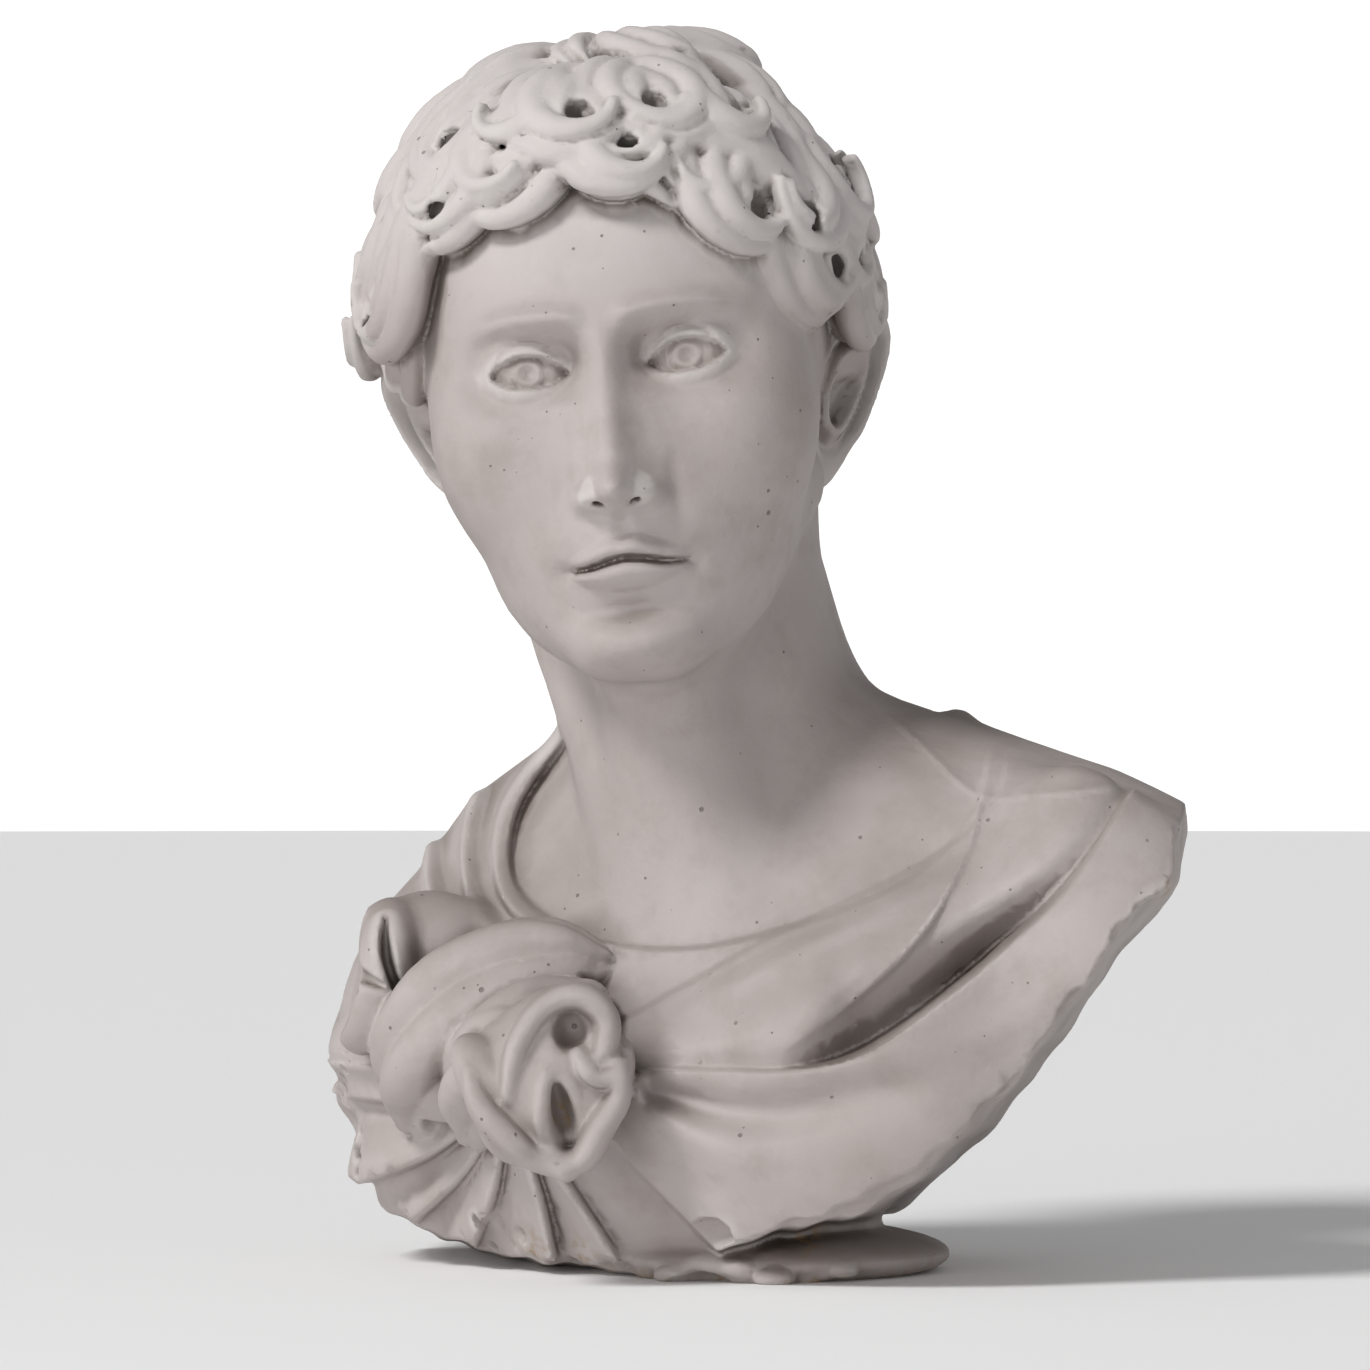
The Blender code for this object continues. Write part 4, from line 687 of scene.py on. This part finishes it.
def build_hair(clay):
    rng = random.Random(HAIR_SEED)
    build_scalp(clay)
    for height, count, reach in CROWN_ROWS:
        for i in range(count):
            azimuth = 360 * (i + 0.5 + rng.uniform(-0.2, 0.2)) / count
            heading, bend = swing(rng, (15, 45), (80, 130))
            half = 0.056 * rng.uniform(0.9, 1.15)
            add_lock(clay, rng, azimuth, height, heading, bend, reach, half, CROWN_LIFT, 1.3)
    for height, count in NAPE_ROWS:
        for i in range(count):
            azimuth = 180 + (i - (count - 1) / 2) * NAPE_SPACING + rng.uniform(-4, 4)
            heading, bend = swing(rng, (20, 60), (180, 250))
            add_lock(clay, rng, azimuth, height, heading, bend, 0.25, 0.045, 0.02)
    # a roll that carries the fringe out over the forehead
    turns = np.radians(np.linspace(-78, 78, 40))
    rise = (hairline(np.abs(np.degrees(turns))) + 0.085 - SKULL_MIDDLE[2]) / SKULL[2]
    level = np.sqrt(1 - rise**2)
    ring = np.stack([np.sin(turns) * level, -np.cos(turns) * level, rise], axis=1)
    roll = [on_head(*(SKULL_MIDDLE + (SKULL + 0.03) * spot)) for spot in ring]
    clay.add(rope(roll, np.full(40, FRINGE_ROLL * HEAD)), 0.8)
    # hooked locks behind, then the fringe's two rows, the upper over the lower
    for row, (drop, half, out) in enumerate(BACK_ROWS):
        for i in range(BACK_LOCKS):
            azimuth = 84 + 192 * (i + 0.5 * row) / BACK_LOCKS + rng.uniform(-4, 4)
            azimuth = (azimuth + 180) % 360 - 180
            top = min(float(hairline(abs(azimuth))) + drop, 0.45)
            heading, bend = swing(rng, (15, 60), (190, 260))
            length, wide = rng.uniform(0.27, 0.33), half * rng.uniform(0.9, 1.15)
            lift = out + rng.uniform(0, 0.02)
            add_lock(clay, rng, azimuth, top, heading, bend, length, wide, lift, 1.8)
    for drop, out, turns in ((0.135, 0.05, FRINGE_BELOW), (0.2, 0.066, FRINGE_ABOVE)):
        for azimuth, side in turns:
            top = min(float(hairline(abs(azimuth))) + drop, 0.455)
            heading, bend = swing(rng, (30, 55), (205, 250), side)
            length, wide = rng.uniform(0.28, 0.32), 0.06 * rng.uniform(0.92, 1.12)
            lift = out + rng.uniform(-0.01, 0.01)
            add_lock(clay, rng, azimuth, top, heading, bend, length, wide, lift, 1.9)
    # fuller curls that stand out over the temples
    for azimuth, height, side, out in TEMPLE_CURLS:
        bend = side * rng.uniform(240, 290)
        add_lock(clay, rng, azimuth, height, -side * 60, bend, 0.36, 0.06, out, 1.6)
    # short ones close the crown
    for i in range(CROWN_CLOSERS):
        heading, bend = swing(rng, (10, 40), (70, 110))
        azimuth = 360 / CROWN_CLOSERS * i + 15
        add_lock(clay, rng, azimuth, 0.514, heading, bend, 0.17, 0.046, 0.5 * CROWN_LIFT, 1.3)
    # waves between the crown and the curls
    for i in range(SIDE_WAVES):
        azimuth = (66 + 28.5 * i + 180) % 360 - 180
        heading, bend = swing(rng, (20, 50), (90, 140))
        height = rng.uniform(0.35, 0.39)
        add_lock(clay, rng, azimuth, height, heading, bend, 0.27, 0.058, CROWN_LIFT, 1.3)


# Knot
# Each loop of its free end: a line across and up, its thickness and how far out it is
LOOPS = [
    ([(-14.9, 15), (-14.1, 19), (-12, 22), (-9.2, 22.8), (-7.3, 21), (-7.6, 18.4),
      (-9.4, 17.2)],
     (0.6, 0.9, 1, 1.1, 1.1, 1, 0.5), (0.2, 0.5, 0.7, 0.9, 0.7, 0.6, 0.2)),
    ([(-9.4, 18.4), (-8.4, 16.8), (-6.9, 17), (-5.9, 18.4)],
     (0.5, 0.8, 0.9, 0.5), (0, 0.6, 0.6, 0)),
    ([(-6.4, 17.6), (-6.3, 15.2), (-7.8, 12.6), (-9.2, 10.2), (-11.2, 10.4), (-12.3, 13.4),
      (-11.9, 17)],
     (0.6, 1, 1.2, 1.1, 0.9, 0.8, 0.5), (0.2, 0.5, 0.6, 0.3, 0.3, 0.4, 0.1)),
    ([(-17.8, 17), (-16.8, 14.2), (-14, 11.2), (-10.4, 9.2)],
     (0.5, 1.2, 1.3, 0.8), (0, 0.4, 0.4, 0)),
]
BUNCH_CREASE = [(-24.9, 28.6), (-24.8, 26), (-23.6, 22.4), (-21.4, 19.2)]
PANEL_CREASE = [(-28.2, 24.8), (-26.6, 23.8), (-24.8, 23)]
UPPER_BAND = [(-8.6, 25), (-13, 24.6), (-17.8, 21.6), (-21.4, 17), (-22.4, 12.6)]
LOWER_BAND = [(-9, 21.5), (-13, 20), (-16.6, 15.8), (-17.6, 11.6)]
LOOP_SINK = 0.4
STEPS = 26
FORWARD = (0, 1, 0)


def build_knot(clay):
    def laid(points, out, reach, deepest=FAR):
        """A line laid over the clay's front, evened out over a reach of steps."""
        line = curve_through([(x, z, o) for (x, z), o in zip(points, out)], STEPS)
        ys = np.pad([clay.front_at(x, z) for x, z, o in line], reach, mode="edge")
        ys = np.convolve(ys, np.ones(2 * reach + 1) / (2 * reach + 1), "valid")
        return [(x, min(y, deepest) - o, z) for (x, z, o), y in zip(line, ys)]

    def cloth(points, radii, out, flutes, depth, twist):
        sizes = curve_through([(r, 0) for r in radii], STEPS)[:, 0]
        return rope(laid(points, out, 5), sizes, flutes, depth, twist, 0.8, FORWARD)

    def mass(x, z, out, radii, turn):
        return ellipsoid((x, clay.front_at(x, z) - out, z), radii, turn)

    def crease(points, deep, wide, out=0):
        spots = [(x, clay.front_at(x, z) - out, z) for x, z in points]
        sizes = wide * np.sin(np.linspace(0.12, 0.9, len(spots)) * math.pi)
        clay.cut(rope(spots, sizes, flat=deep / wide, up=FORWARD), 0.35)

    # cloth from the shoulder, gathered in a bunch and a broad panel
    clay.add(mass(-21.2, 24.8, 0.8, (5.8, 4, 5.6), (0, 20, -10)), 1.6)
    clay.add(mass(-25.8, 23.6, 0.5, (3.2, 5, 6.4), (0, 14, 10)), 1.2)
    crease(curve_through(BUNCH_CREASE, 16), 2.2, 0.55, 0.2)
    crease(curve_through(PANEL_CREASE, 12), 0.7, 0.5)
    # the band wrapped over it, pulled into long ridges
    upper = cloth(UPPER_BAND, (1.8, 4, 5.2, 4.6, 2.2), (1.2, 2.6, 3.6, 3.2, 0.6), 5, 0.13, 70)
    clay.add(upper, 0.5)
    lower = cloth(LOWER_BAND, (2.2, 3.6, 3.9, 1.8), (2.6, 3.6, 3.4, 0.8), 4, 0.14, 60)
    clay.add(lower, 0.4)
    # its free end, bunched and turned over in thin loops with a hollow heart
    y = clay.front_at(-12.4, 17.5)
    clay.add(ellipsoid((-12.2, y - 0.2, 16.6), (4.9, 3.6, 7.4), (0, 24, 0)), 0.5)
    clay.add(ellipsoid((-15.2, y - 0.1, 15), (2.7, 3, 5.8), (0, -38, 0)), 0.3)
    clay.add(ellipsoid((-8.6, y + 0.4, 15.4), (2.9, 3.2, 5), (0, 30, 0)), 0.3)
    y = clay.front_at(-12, 18)
    clay.cut(ellipsoid((-9.9, y - 0.2, 20.3), (1.5, 2.8, 1.8)), 0.6)
    clay.cut(ellipsoid((-10.6, y - 0.2, 13.6), (0.95, 3, 2.7), (0, -14, 0)), 0.5)
    for points, sizes, out in LOOPS:
        spots = laid(points, np.array(out) - LOOP_SINK, 3, y + 1.6)
        widths = curve_through([(r, 0) for r in sizes], STEPS)[:, 0]
        clay.add(rope(spots, widths, flat=1.5, up=FORWARD), 0.5)
    clay.cut(mass(-21, 11.6, 0, (1.2, 1.8, 1.5), (0, 30, 0)), 0.6)


def build_bust(voxel):
    clay = Clay(CLAY_LOW, CLAY_HIGH, voxel)
    build_torso(clay)
    build_drapery(clay)
    build_neck(clay)
    build_knot(clay)
    cut_outline(clay)
    build_foot(clay)
    build_head(clay)
    for side in (-1, 1):
        build_ear(clay, side)
    build_hair(clay)
    return clay


# Wear and the marks of casting
SEAMS = [[(13.5, 46), (18, 41.6), (21.9, 38.2), (27, 38.4), (32.7, 38.8)],
         [(21.9, 38.2), (20.8, 33.6), (17, 27.6), (9, 20)]]
RIM_POINTS = 360
CHIPS_ON_RIM = 300
SCALLOPS_ON_RIM = 16
FOOT_LUMPS = 26


def raise_seams(clay):
    """The thin ridges that the joints of the mould left."""
    x, y, z = clay.planes()
    seams = sum(fold(x, z, line, (0.26, 0.22), 0.17, "ridge", (0.08, 0.08)) for line in SEAMS)
    in_front = smoothstep(ahead_of_torso(x, y) / 4).astype(np.float32)[:, :, None]
    clay.distance -= seams.astype(np.float32)[:, None, :] * in_front


def front_rim(clay, count):
    """Points on the front edge of the cut, with the way out and the slope in elevation. Walking in,
    the cut face comes forward steeply until it meets the front."""
    line = curve_through(CUT_OUTLINE, count + 1)
    step = 0.25
    rim = []
    for (ax, az), (bx, bz) in zip(line[:-1], line[1:]):
        run = math.hypot(bx - ax, bz - az)
        out = np.array([bz - az, ax - bx]) / run
        walk = [np.array([ax, az]) + out * (7 - step * i) for i in range(38)]
        fronts = np.array([clay.front_at(*spot) for spot in walk])
        steep = np.nonzero(fronts[:-1] - fronts[1:] > 2.5 * step)[0]
        if len(steep):
            last = steep[-1] + 1
            slope = -math.degrees(math.atan2((bz - az) / run, (bx - ax) / run))
            rim.append((walk[last][0], fronts[last], walk[last][1], out, slope))
    return rim


def chip_rim(clay, rng):
    """Nibble the front edge of the cut, more in some stretches."""
    rim = front_rim(clay, RIM_POINTS)
    cluster = 0.5
    for i in range(CHIPS_ON_RIM + SCALLOPS_ON_RIM):
        if rng.random() < 0.1:
            cluster = rng.uniform(0.1, 0.97)
        place = int(min(max(cluster + rng.gauss(0, 0.03), 0.06), 0.99) * (len(rim) - 1))
        x, y, z, out, slope = rim[place]
        size = 0.22 + 0.65 * rng.random() ** 3
        stretch = rng.uniform(1, 2.4)
        if i < SCALLOPS_ON_RIM:
            size = rng.uniform(1, 1.9)
            stretch = rng.uniform(1.4, 2.6)
        away = size * rng.uniform(0.28, 0.62)
        centre = (x + out[0] * away, y - size * rng.uniform(0.28, 0.62), z + out[1] * away)
        turn = (rng.uniform(-30, 30), slope, rng.uniform(-30, 30))
        clay.cut(ellipsoid(centre, (size * stretch, size, size * rng.uniform(0.8, 1.1)), turn), 0.08)


def lump_foot(clay, rng):
    """Spilt plaster round the front of the foot."""
    radius = 0.5 * FOOT_DIAMETER / UNIT
    for i in range(FOOT_LUMPS):
        turn = math.radians(rng.uniform(-75, 42))
        away = radius * rng.uniform(0.8, 0.985)
        size = rng.uniform(0.5, 1.25)
        place = (FOOT_MIDDLE[0] + away * math.sin(turn), FOOT_MIDDLE[1] - away * math.cos(turn),
                 rng.uniform(0.2, 1.3))
        clay.add(ellipsoid(place, (size * 1.5, size * 1.2, size * rng.uniform(0.6, 1)),
                           (rng.uniform(-20, 20), 0, math.degrees(turn))), 0.35)


# Unevenness of the hand-worked cast: its height and how closely it repeats
UNEVENNESS = [(0.08, 0.24), (0.036, 0.95)]


def roughen(points, normals, rng):
    """Move each point along its normal by soft noise."""
    offset = Vector([rng.uniform(0, 50) for _ in range(3)])
    moved = np.empty(len(points))
    for i, point in enumerate(points):
        spot = Vector(point)
        moved[i] = sum(high * noise.noise(spot * rate + offset) for high, rate in UNEVENNESS)
    return points + normals * moved[:, None]


def depth_at(clay, points):
    """The clay's distance at any points."""
    place = (points - clay.low) / clay.voxel
    place = np.clip(place, 0, clay.counts - 1.001)
    first = place.astype(int)
    t = place - first
    total = 0
    for corner in np.ndindex(2, 2, 2):
        weight = np.abs(1 - np.array(corner) - t).prod(axis=1)
        total = total + weight * clay.distance[tuple((first + corner).T)]
    return total


def closed_in(clay, points, normals, reach):
    """From 0 on a flat surface to 1 deep in a crease, felt at a reach from it."""
    return np.clip(1 - depth_at(clay, points + normals * reach) / reach, 0, 1)


# The piece
CLAY_GRAIN = 0.24
PIECE_TRIANGLES = 190000
WEAR_SEED = 7
CREASE_REACH = 0.9
HOLLOW_REACH = 3.2
HAIR_FROM = 76
LOCK_CHISEL = 0.5
# Each brown stain: across, up and how wide.
DIRT_SPOTS = [(36.2, 30.9, 0.8), (-9.4, 1.6, 1), (-13, 2.2, 0.8), (8.5, 3.4, 1),
              (-10.6, 13.6, 0.9)]


def largest_shell(bm):
    """Remove every shell but the largest, such as a bubble inside a curl."""
    unseen = set(bm.faces)
    shells = []
    while unseen:
        shell = [unseen.pop()]
        # the list grows while it is walked
        for face in shell:
            for edge in face.edges:
                joined = unseen.intersection(edge.link_faces)
                unseen -= joined
                shell.extend(joined)
        shells.append(shell)
    small = [face for shell in sorted(shells, key=len)[:-1] for face in shell]
    bmesh.ops.delete(bm, geom=small, context="FACES")


def cut_flat_at_ground(bm):
    """Cut away what lies under the ground and close the cut."""
    everything = bm.verts[:] + bm.edges[:] + bm.faces[:]
    cut = bmesh.ops.bisect_plane(bm, geom=everything, dist=1e-7, plane_co=(0, 0, 0),
                                 plane_no=(0, 0, -1), clear_outer=True)
    rim = [item for item in cut["geom_cut"] if isinstance(item, bmesh.types.BMEdge)]
    bmesh.ops.triangle_fill(bm, edges=rim, use_beauty=True, normal=(0, 0, -1))
    bmesh.ops.recalc_face_normals(bm, faces=bm.faces)


def new_object(name, data):
    thing = bpy.data.objects.new(name, data)
    bpy.context.scene.collection.objects.link(thing)
    return thing


def at_vertices(mesh, name):
    values = np.empty(3 * len(mesh.vertices))
    mesh.vertices.foreach_get(name, values)
    return values.reshape(-1, 3)


def add_attribute(mesh, name, values):
    layer = mesh.attributes.new(name, "FLOAT", "POINT")
    layer.data.foreach_set("value", np.ascontiguousarray(values, np.float32))


def make_piece():
    rng = random.Random(WEAR_SEED)
    clay = build_bust(CLAY_GRAIN)
    raise_seams(clay)
    lump_foot(clay, rng)
    chip_rim(clay, rng)
    points, quads = clay.skin()
    rough = bpy.data.meshes.new("rough_cast")
    rough.from_pydata(points.tolist(), [], quads.tolist())
    piece = new_object("plaster_cast", rough)

    thin = piece.modifiers.new("fewer_triangles", "DECIMATE")
    thin.ratio = min(1, PIECE_TRIANGLES / (2 * len(quads)))
    thin.use_collapse_triangulate = True
    thinned = piece.evaluated_get(bpy.context.evaluated_depsgraph_get())
    bm = bmesh.new()
    bm.from_mesh(thinned.to_mesh())
    piece.modifiers.clear()
    largest_shell(bm)
    cut_flat_at_ground(bm)
    mesh = bpy.data.meshes.new("plaster_cast")
    bm.to_mesh(mesh)
    bm.free()
    piece.data = mesh
    bpy.data.meshes.remove(rough)

    spots, normals = at_vertices(mesh, "co"), at_vertices(mesh, "normal")
    crease = closed_in(clay, spots, normals, CREASE_REACH)
    hair = smoothstep((spots[:, 2] - HAIR_FROM) / 9)
    carved = hair * smoothstep((crease - 0.08) / 0.5)
    # the crease measure is raised in the hair's crevices, for deeper painted shade between the locks
    add_attribute(mesh, "crease", np.clip(crease + 0.25 * carved, 0, 1))
    # the painted shade in the hollows is weaker low down on the bust
    shade_eased_low = 0.3 + 0.7 * smoothstep((spots[:, 2] - 8) / 8)
    add_attribute(mesh, "hollow", closed_in(clay, spots, normals, HOLLOW_REACH) * shade_eased_low)
    # convex edges, painted paler in the material as wear and as a highlight
    add_attribute(mesh, "edge", closed_in(clay, spots, normals, -CREASE_REACH))
    add_attribute(mesh, "low", smoothstep((86 - spots[:, 2]) / 14))
    # brown along the ground line, and at the listed spots
    browned = 0.8 * np.exp(-np.maximum(spots[:, 2], 0) / 0.45)
    for x, z, size in DIRT_SPOTS:
        away = np.hypot(spots[:, 0] - x, spots[:, 2] - z)
        browned += bell(away / size) * (spots[:, 1] < 6)
    add_attribute(mesh, "stain", np.clip(browned, 0, 1))

    # the chisel goes deeper between the locks, towards the head's middle
    inward = spots[hair > 0.5].mean(axis=0) - spots
    inward /= np.linalg.norm(inward, axis=1)[:, None]
    spots += inward * (LOCK_CHISEL * carved)[:, None]
    above = spots[:, 2] > 0.01
    spots[above] = roughen(spots[above], normals[above], rng)
    spots[:, 2] = np.maximum(spots[:, 2], 0)
    spots = (spots - np.array([*FOOT_MIDDLE, 0])) * UNIT
    mesh.vertices.foreach_set("co", spots.ravel())
    mesh.update()
    mesh.shade_smooth()
    return piece


# Material
PLASTER_LIGHT = (0.45, 0.408, 0.395, 1)
PLASTER_DULL = (0.375, 0.331, 0.317, 1)
PLASTER_RUBBED = (0.32, 0.277, 0.257, 1)
# pale for the hair: partly cleaner plaster, partly painted light on the top
PLASTER_CLEAN_AND_TOPLIT = (0.6, 0.562, 0.55, 1)
# pale for convex edges, as wear and a painted highlight
PLASTER_WORN_AND_HIGHLIT = (0.56, 0.528, 0.51, 1)
# darkens the creases as grime and painted shade, and the hollows as painted shade
GRIME_AND_PAINTED_SHADE = (0.08, 0.056, 0.04, 1)
DUST = (0.21, 0.177, 0.163, 1)
STAIN = (0.3, 0.18, 0.06, 1)
PIT = (0.09, 0.075, 0.062, 1)


def feed(tree, socket, value):
    """Link a socket to another, or set its value."""
    if isinstance(value, bpy.types.NodeSocket):
        tree.links.new(value, socket)
    else:
        socket.default_value = value


def new_node(tree, kind, **inputs):
    node = tree.nodes.new("ShaderNode" + kind)
    for name, value in inputs.items():
        feed(tree, node.inputs[name.replace("_", " ")], value)
    return node


def new_material(name):
    material = bpy.data.materials.new(name)
    material.use_nodes = True
    return material, material.node_tree, material.node_tree.nodes["Principled BSDF"].inputs


def plaster_material():
    material, tree, shader = new_material("plaster")
    shader["Metallic"].default_value = 0
    shader["Specular IOR Level"].default_value = 0.35
    place = new_node(tree, "TexCoord").outputs["Object"]

    def noise_of(scale, detail, rough=0.5):
        node = new_node(tree, "TexNoise", Scale=scale, Detail=detail, Roughness=rough, Vector=place)
        return node.outputs["Fac"]

    def attribute(name):
        node = new_node(tree, "Attribute")
        node.attribute_name = name
        return node.outputs["Fac"]

    def between(value, low, high, to_low=0, to_high=1):
        node = new_node(tree, "MapRange", Value=value, From_Min=low, From_Max=high,
                        To_Min=to_low, To_Max=to_high)
        return node.outputs["Result"]

    def maths(operation, a, b):
        node = new_node(tree, "Math")
        node.operation = operation
        feed(tree, node.inputs[0], a)
        feed(tree, node.inputs[1], b)
        return node.outputs[0]

    def coloured(factor, a, b):
        node = new_node(tree, "Mix")
        node.data_type = "RGBA"
        for name, value in (("Factor", factor), ("A", a), ("B", b)):
            feed(tree, node.inputs[name], value)
        return node.outputs["Result"]

    blotches = between(noise_of(9, 3), 0.35, 0.68)
    colour = coloured(blotches, PLASTER_LIGHT, PLASTER_DULL)
    smears = between(noise_of(38, 5, 0.62), 0.48, 0.74, 0, 0.6)
    colour = coloured(smears, colour, PLASTER_RUBBED)
    # the hair above is paler: partly cleaner plaster, partly painted light where the top catches more
    # of it
    colour = coloured(between(attribute("low"), 0, 1, 0.35, 1), PLASTER_CLEAN_AND_TOPLIT, colour)
    # dust settles on what faces up, and is rubbed off here and there
    normal = new_node(tree, "NewGeometry").outputs["Normal"]
    parts = new_node(tree, "SeparateXYZ", Vector=normal)
    settled = between(parts.outputs["Z"], 0.15, 0.9, 0, 0.75)
    dust = maths("MULTIPLY", settled, between(noise_of(14, 4), 0.3, 0.6, 0.35, 1))
    colour = coloured(maths("MULTIPLY", dust, attribute("low")), colour, DUST)
    # creases are darkened as grime and painted shade, hollows as painted shade, and convex edges are
    # paler as wear and a painted highlight
    in_creases = between(attribute("crease"), 0.22, 0.95, 0, 0.95)
    crease_grime_and_shade = maths("MULTIPLY", in_creases, between(noise_of(24, 3), 0.25, 0.65, 0.5, 1))
    # painted shade in the hollows, in the same dark colour
    shade = between(attribute("hollow"), 0.3, 1, 0, 0.5)
    colour = coloured(maths("MAXIMUM", crease_grime_and_shade, shade), colour, GRIME_AND_PAINTED_SHADE)
    # convex edges paler: partly wear and partly a painted highlight
    colour = coloured(between(attribute("edge"), 0.22, 0.7, 0, 0.6), colour, PLASTER_WORN_AND_HIGHLIT)
    spotted = maths("MULTIPLY", attribute("stain"), between(noise_of(150, 3, 0.6), 0.46, 0.66))
    colour = coloured(spotted, colour, STAIN)
    # small blow holes, left where air was caught in the mould
    pits = None
    for scale, share, radius in ((75, 0.3, 0.1), (170, 0.2, 0.13)):
        cells = new_node(tree, "TexVoronoi", Scale=scale, Vector=place)
        channels = new_node(tree, "SeparateColor", Color=cells.outputs["Color"])
        chosen = between(channels.outputs["Red"], 1 - share, 1 - share + 0.02)
        reach = between(channels.outputs["Green"], 0, 1, 0.35 * radius, radius)
        away = maths("DIVIDE", cells.outputs["Distance"], reach)
        hole = maths("MULTIPLY", between(away, 0.6, 1, 1, 0), chosen)
        pits = hole if pits is None else maths("MAXIMUM", pits, hole)
    colour = coloured(maths("MULTIPLY", pits, 0.6), colour, PIT)
    feed(tree, shader["Base Color"], colour)

    feed(tree, shader["Roughness"], between(noise_of(55, 3), 0.3, 0.7, 0.72, 0.92))
    grain = maths("ADD", maths("MULTIPLY", noise_of(320, 4, 0.65), 0.35),
                  maths("MULTIPLY", noise_of(70, 4, 0.6), 0.65))
    height = maths("SUBTRACT", grain, maths("MULTIPLY", pits, 1.6))
    bump = new_node(tree, "Bump", Strength=0.6, Distance=0.0009, Height=height)
    feed(tree, shader["Normal"], bump.outputs["Normal"])
    return material


# Studio
FLOOR_COLOUR = (0.92, 0.92, 0.92, 1)
FLOOR_RADIUS = 9


def add_floor():
    mesh = bpy.data.meshes.new("floor")
    bm = bmesh.new()
    bmesh.ops.create_circle(bm, cap_ends=True, segments=96, radius=FLOOR_RADIUS)
    bm.to_mesh(mesh)
    bm.free()
    material, tree, shader = new_material("floor")
    shader["Base Color"].default_value = FLOOR_COLOUR
    shader["Roughness"].default_value = 0.9
    mesh.materials.append(material)
    floor = new_object("floor", mesh)


# Camera: level with the bust's middle, looking along +Y
CAMERA_DISTANCE = 3
VIEW_MIDDLE = (-1.2, 0, 46.8)
VIEW_WIDTH = 110.4
SENSOR_WIDTH = 36


def add_camera():
    data = bpy.data.cameras.new("camera")
    camera = new_object("camera", data)
    middle = (Vector(VIEW_MIDDLE) - Vector((*FOOT_MIDDLE, 0))) * UNIT
    camera.location = middle - Vector((0, CAMERA_DISTANCE, 0))
    camera.rotation_euler = (math.radians(90), 0, 0)
    data.sensor_width = SENSOR_WIDTH
    data.lens = SENSOR_WIDTH * CAMERA_DISTANCE / (VIEW_WIDTH * UNIT)
    bpy.context.scene.camera = camera


def add_lamp(kind, name, place, aim, strength):
    data = bpy.data.lights.new(name, kind)
    data.energy = strength
    lamp = new_object(name, data)
    lamp.location = place
    lamp.rotation_euler = (Vector(aim) - Vector(place)).to_track_quat("-Z", "Y").to_euler()
    return data


HORIZON_BAND = (0.09, 0.15)
HORIZON_LIGHT = 1.1
OVERHEAD_LIGHT = 0.31


def add_world():
    """A pale studio, brightest round the horizon."""
    world = bpy.data.worlds.new("studio")
    world.use_nodes = True
    tree = world.node_tree
    direction = new_node(tree, "TexCoord").outputs["Generated"]
    parts = new_node(tree, "SeparateXYZ", Vector=direction)
    band = new_node(tree, "MapRange", Value=parts.outputs["Z"], From_Min=HORIZON_BAND[0],
                    From_Max=HORIZON_BAND[1], To_Min=HORIZON_LIGHT, To_Max=OVERHEAD_LIGHT)
    band.interpolation_type = "SMOOTHSTEP"
    background = tree.nodes["Background"].inputs
    background["Color"].default_value = (1, 1, 1, 1)
    feed(tree, background["Strength"], band.outputs["Result"])
    bpy.context.scene.world = world


piece = make_piece()
piece.data.materials.append(plaster_material())
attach(piece, "root")
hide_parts("plaster_bust")

add_floor()
add_camera()
add_world()
window = add_lamp("SUN", "window", (-1.3, -1.15, 1.75), (0, 0, 0), 2.1)
window.angle = math.radians(14)
low_fill = add_lamp("AREA", "low_fill", (-1, -1.5, 0.12), (0, 0, 0.1), 10)
low_fill.size = 0.8
bpy.context.scene.view_settings.view_transform = "Standard"

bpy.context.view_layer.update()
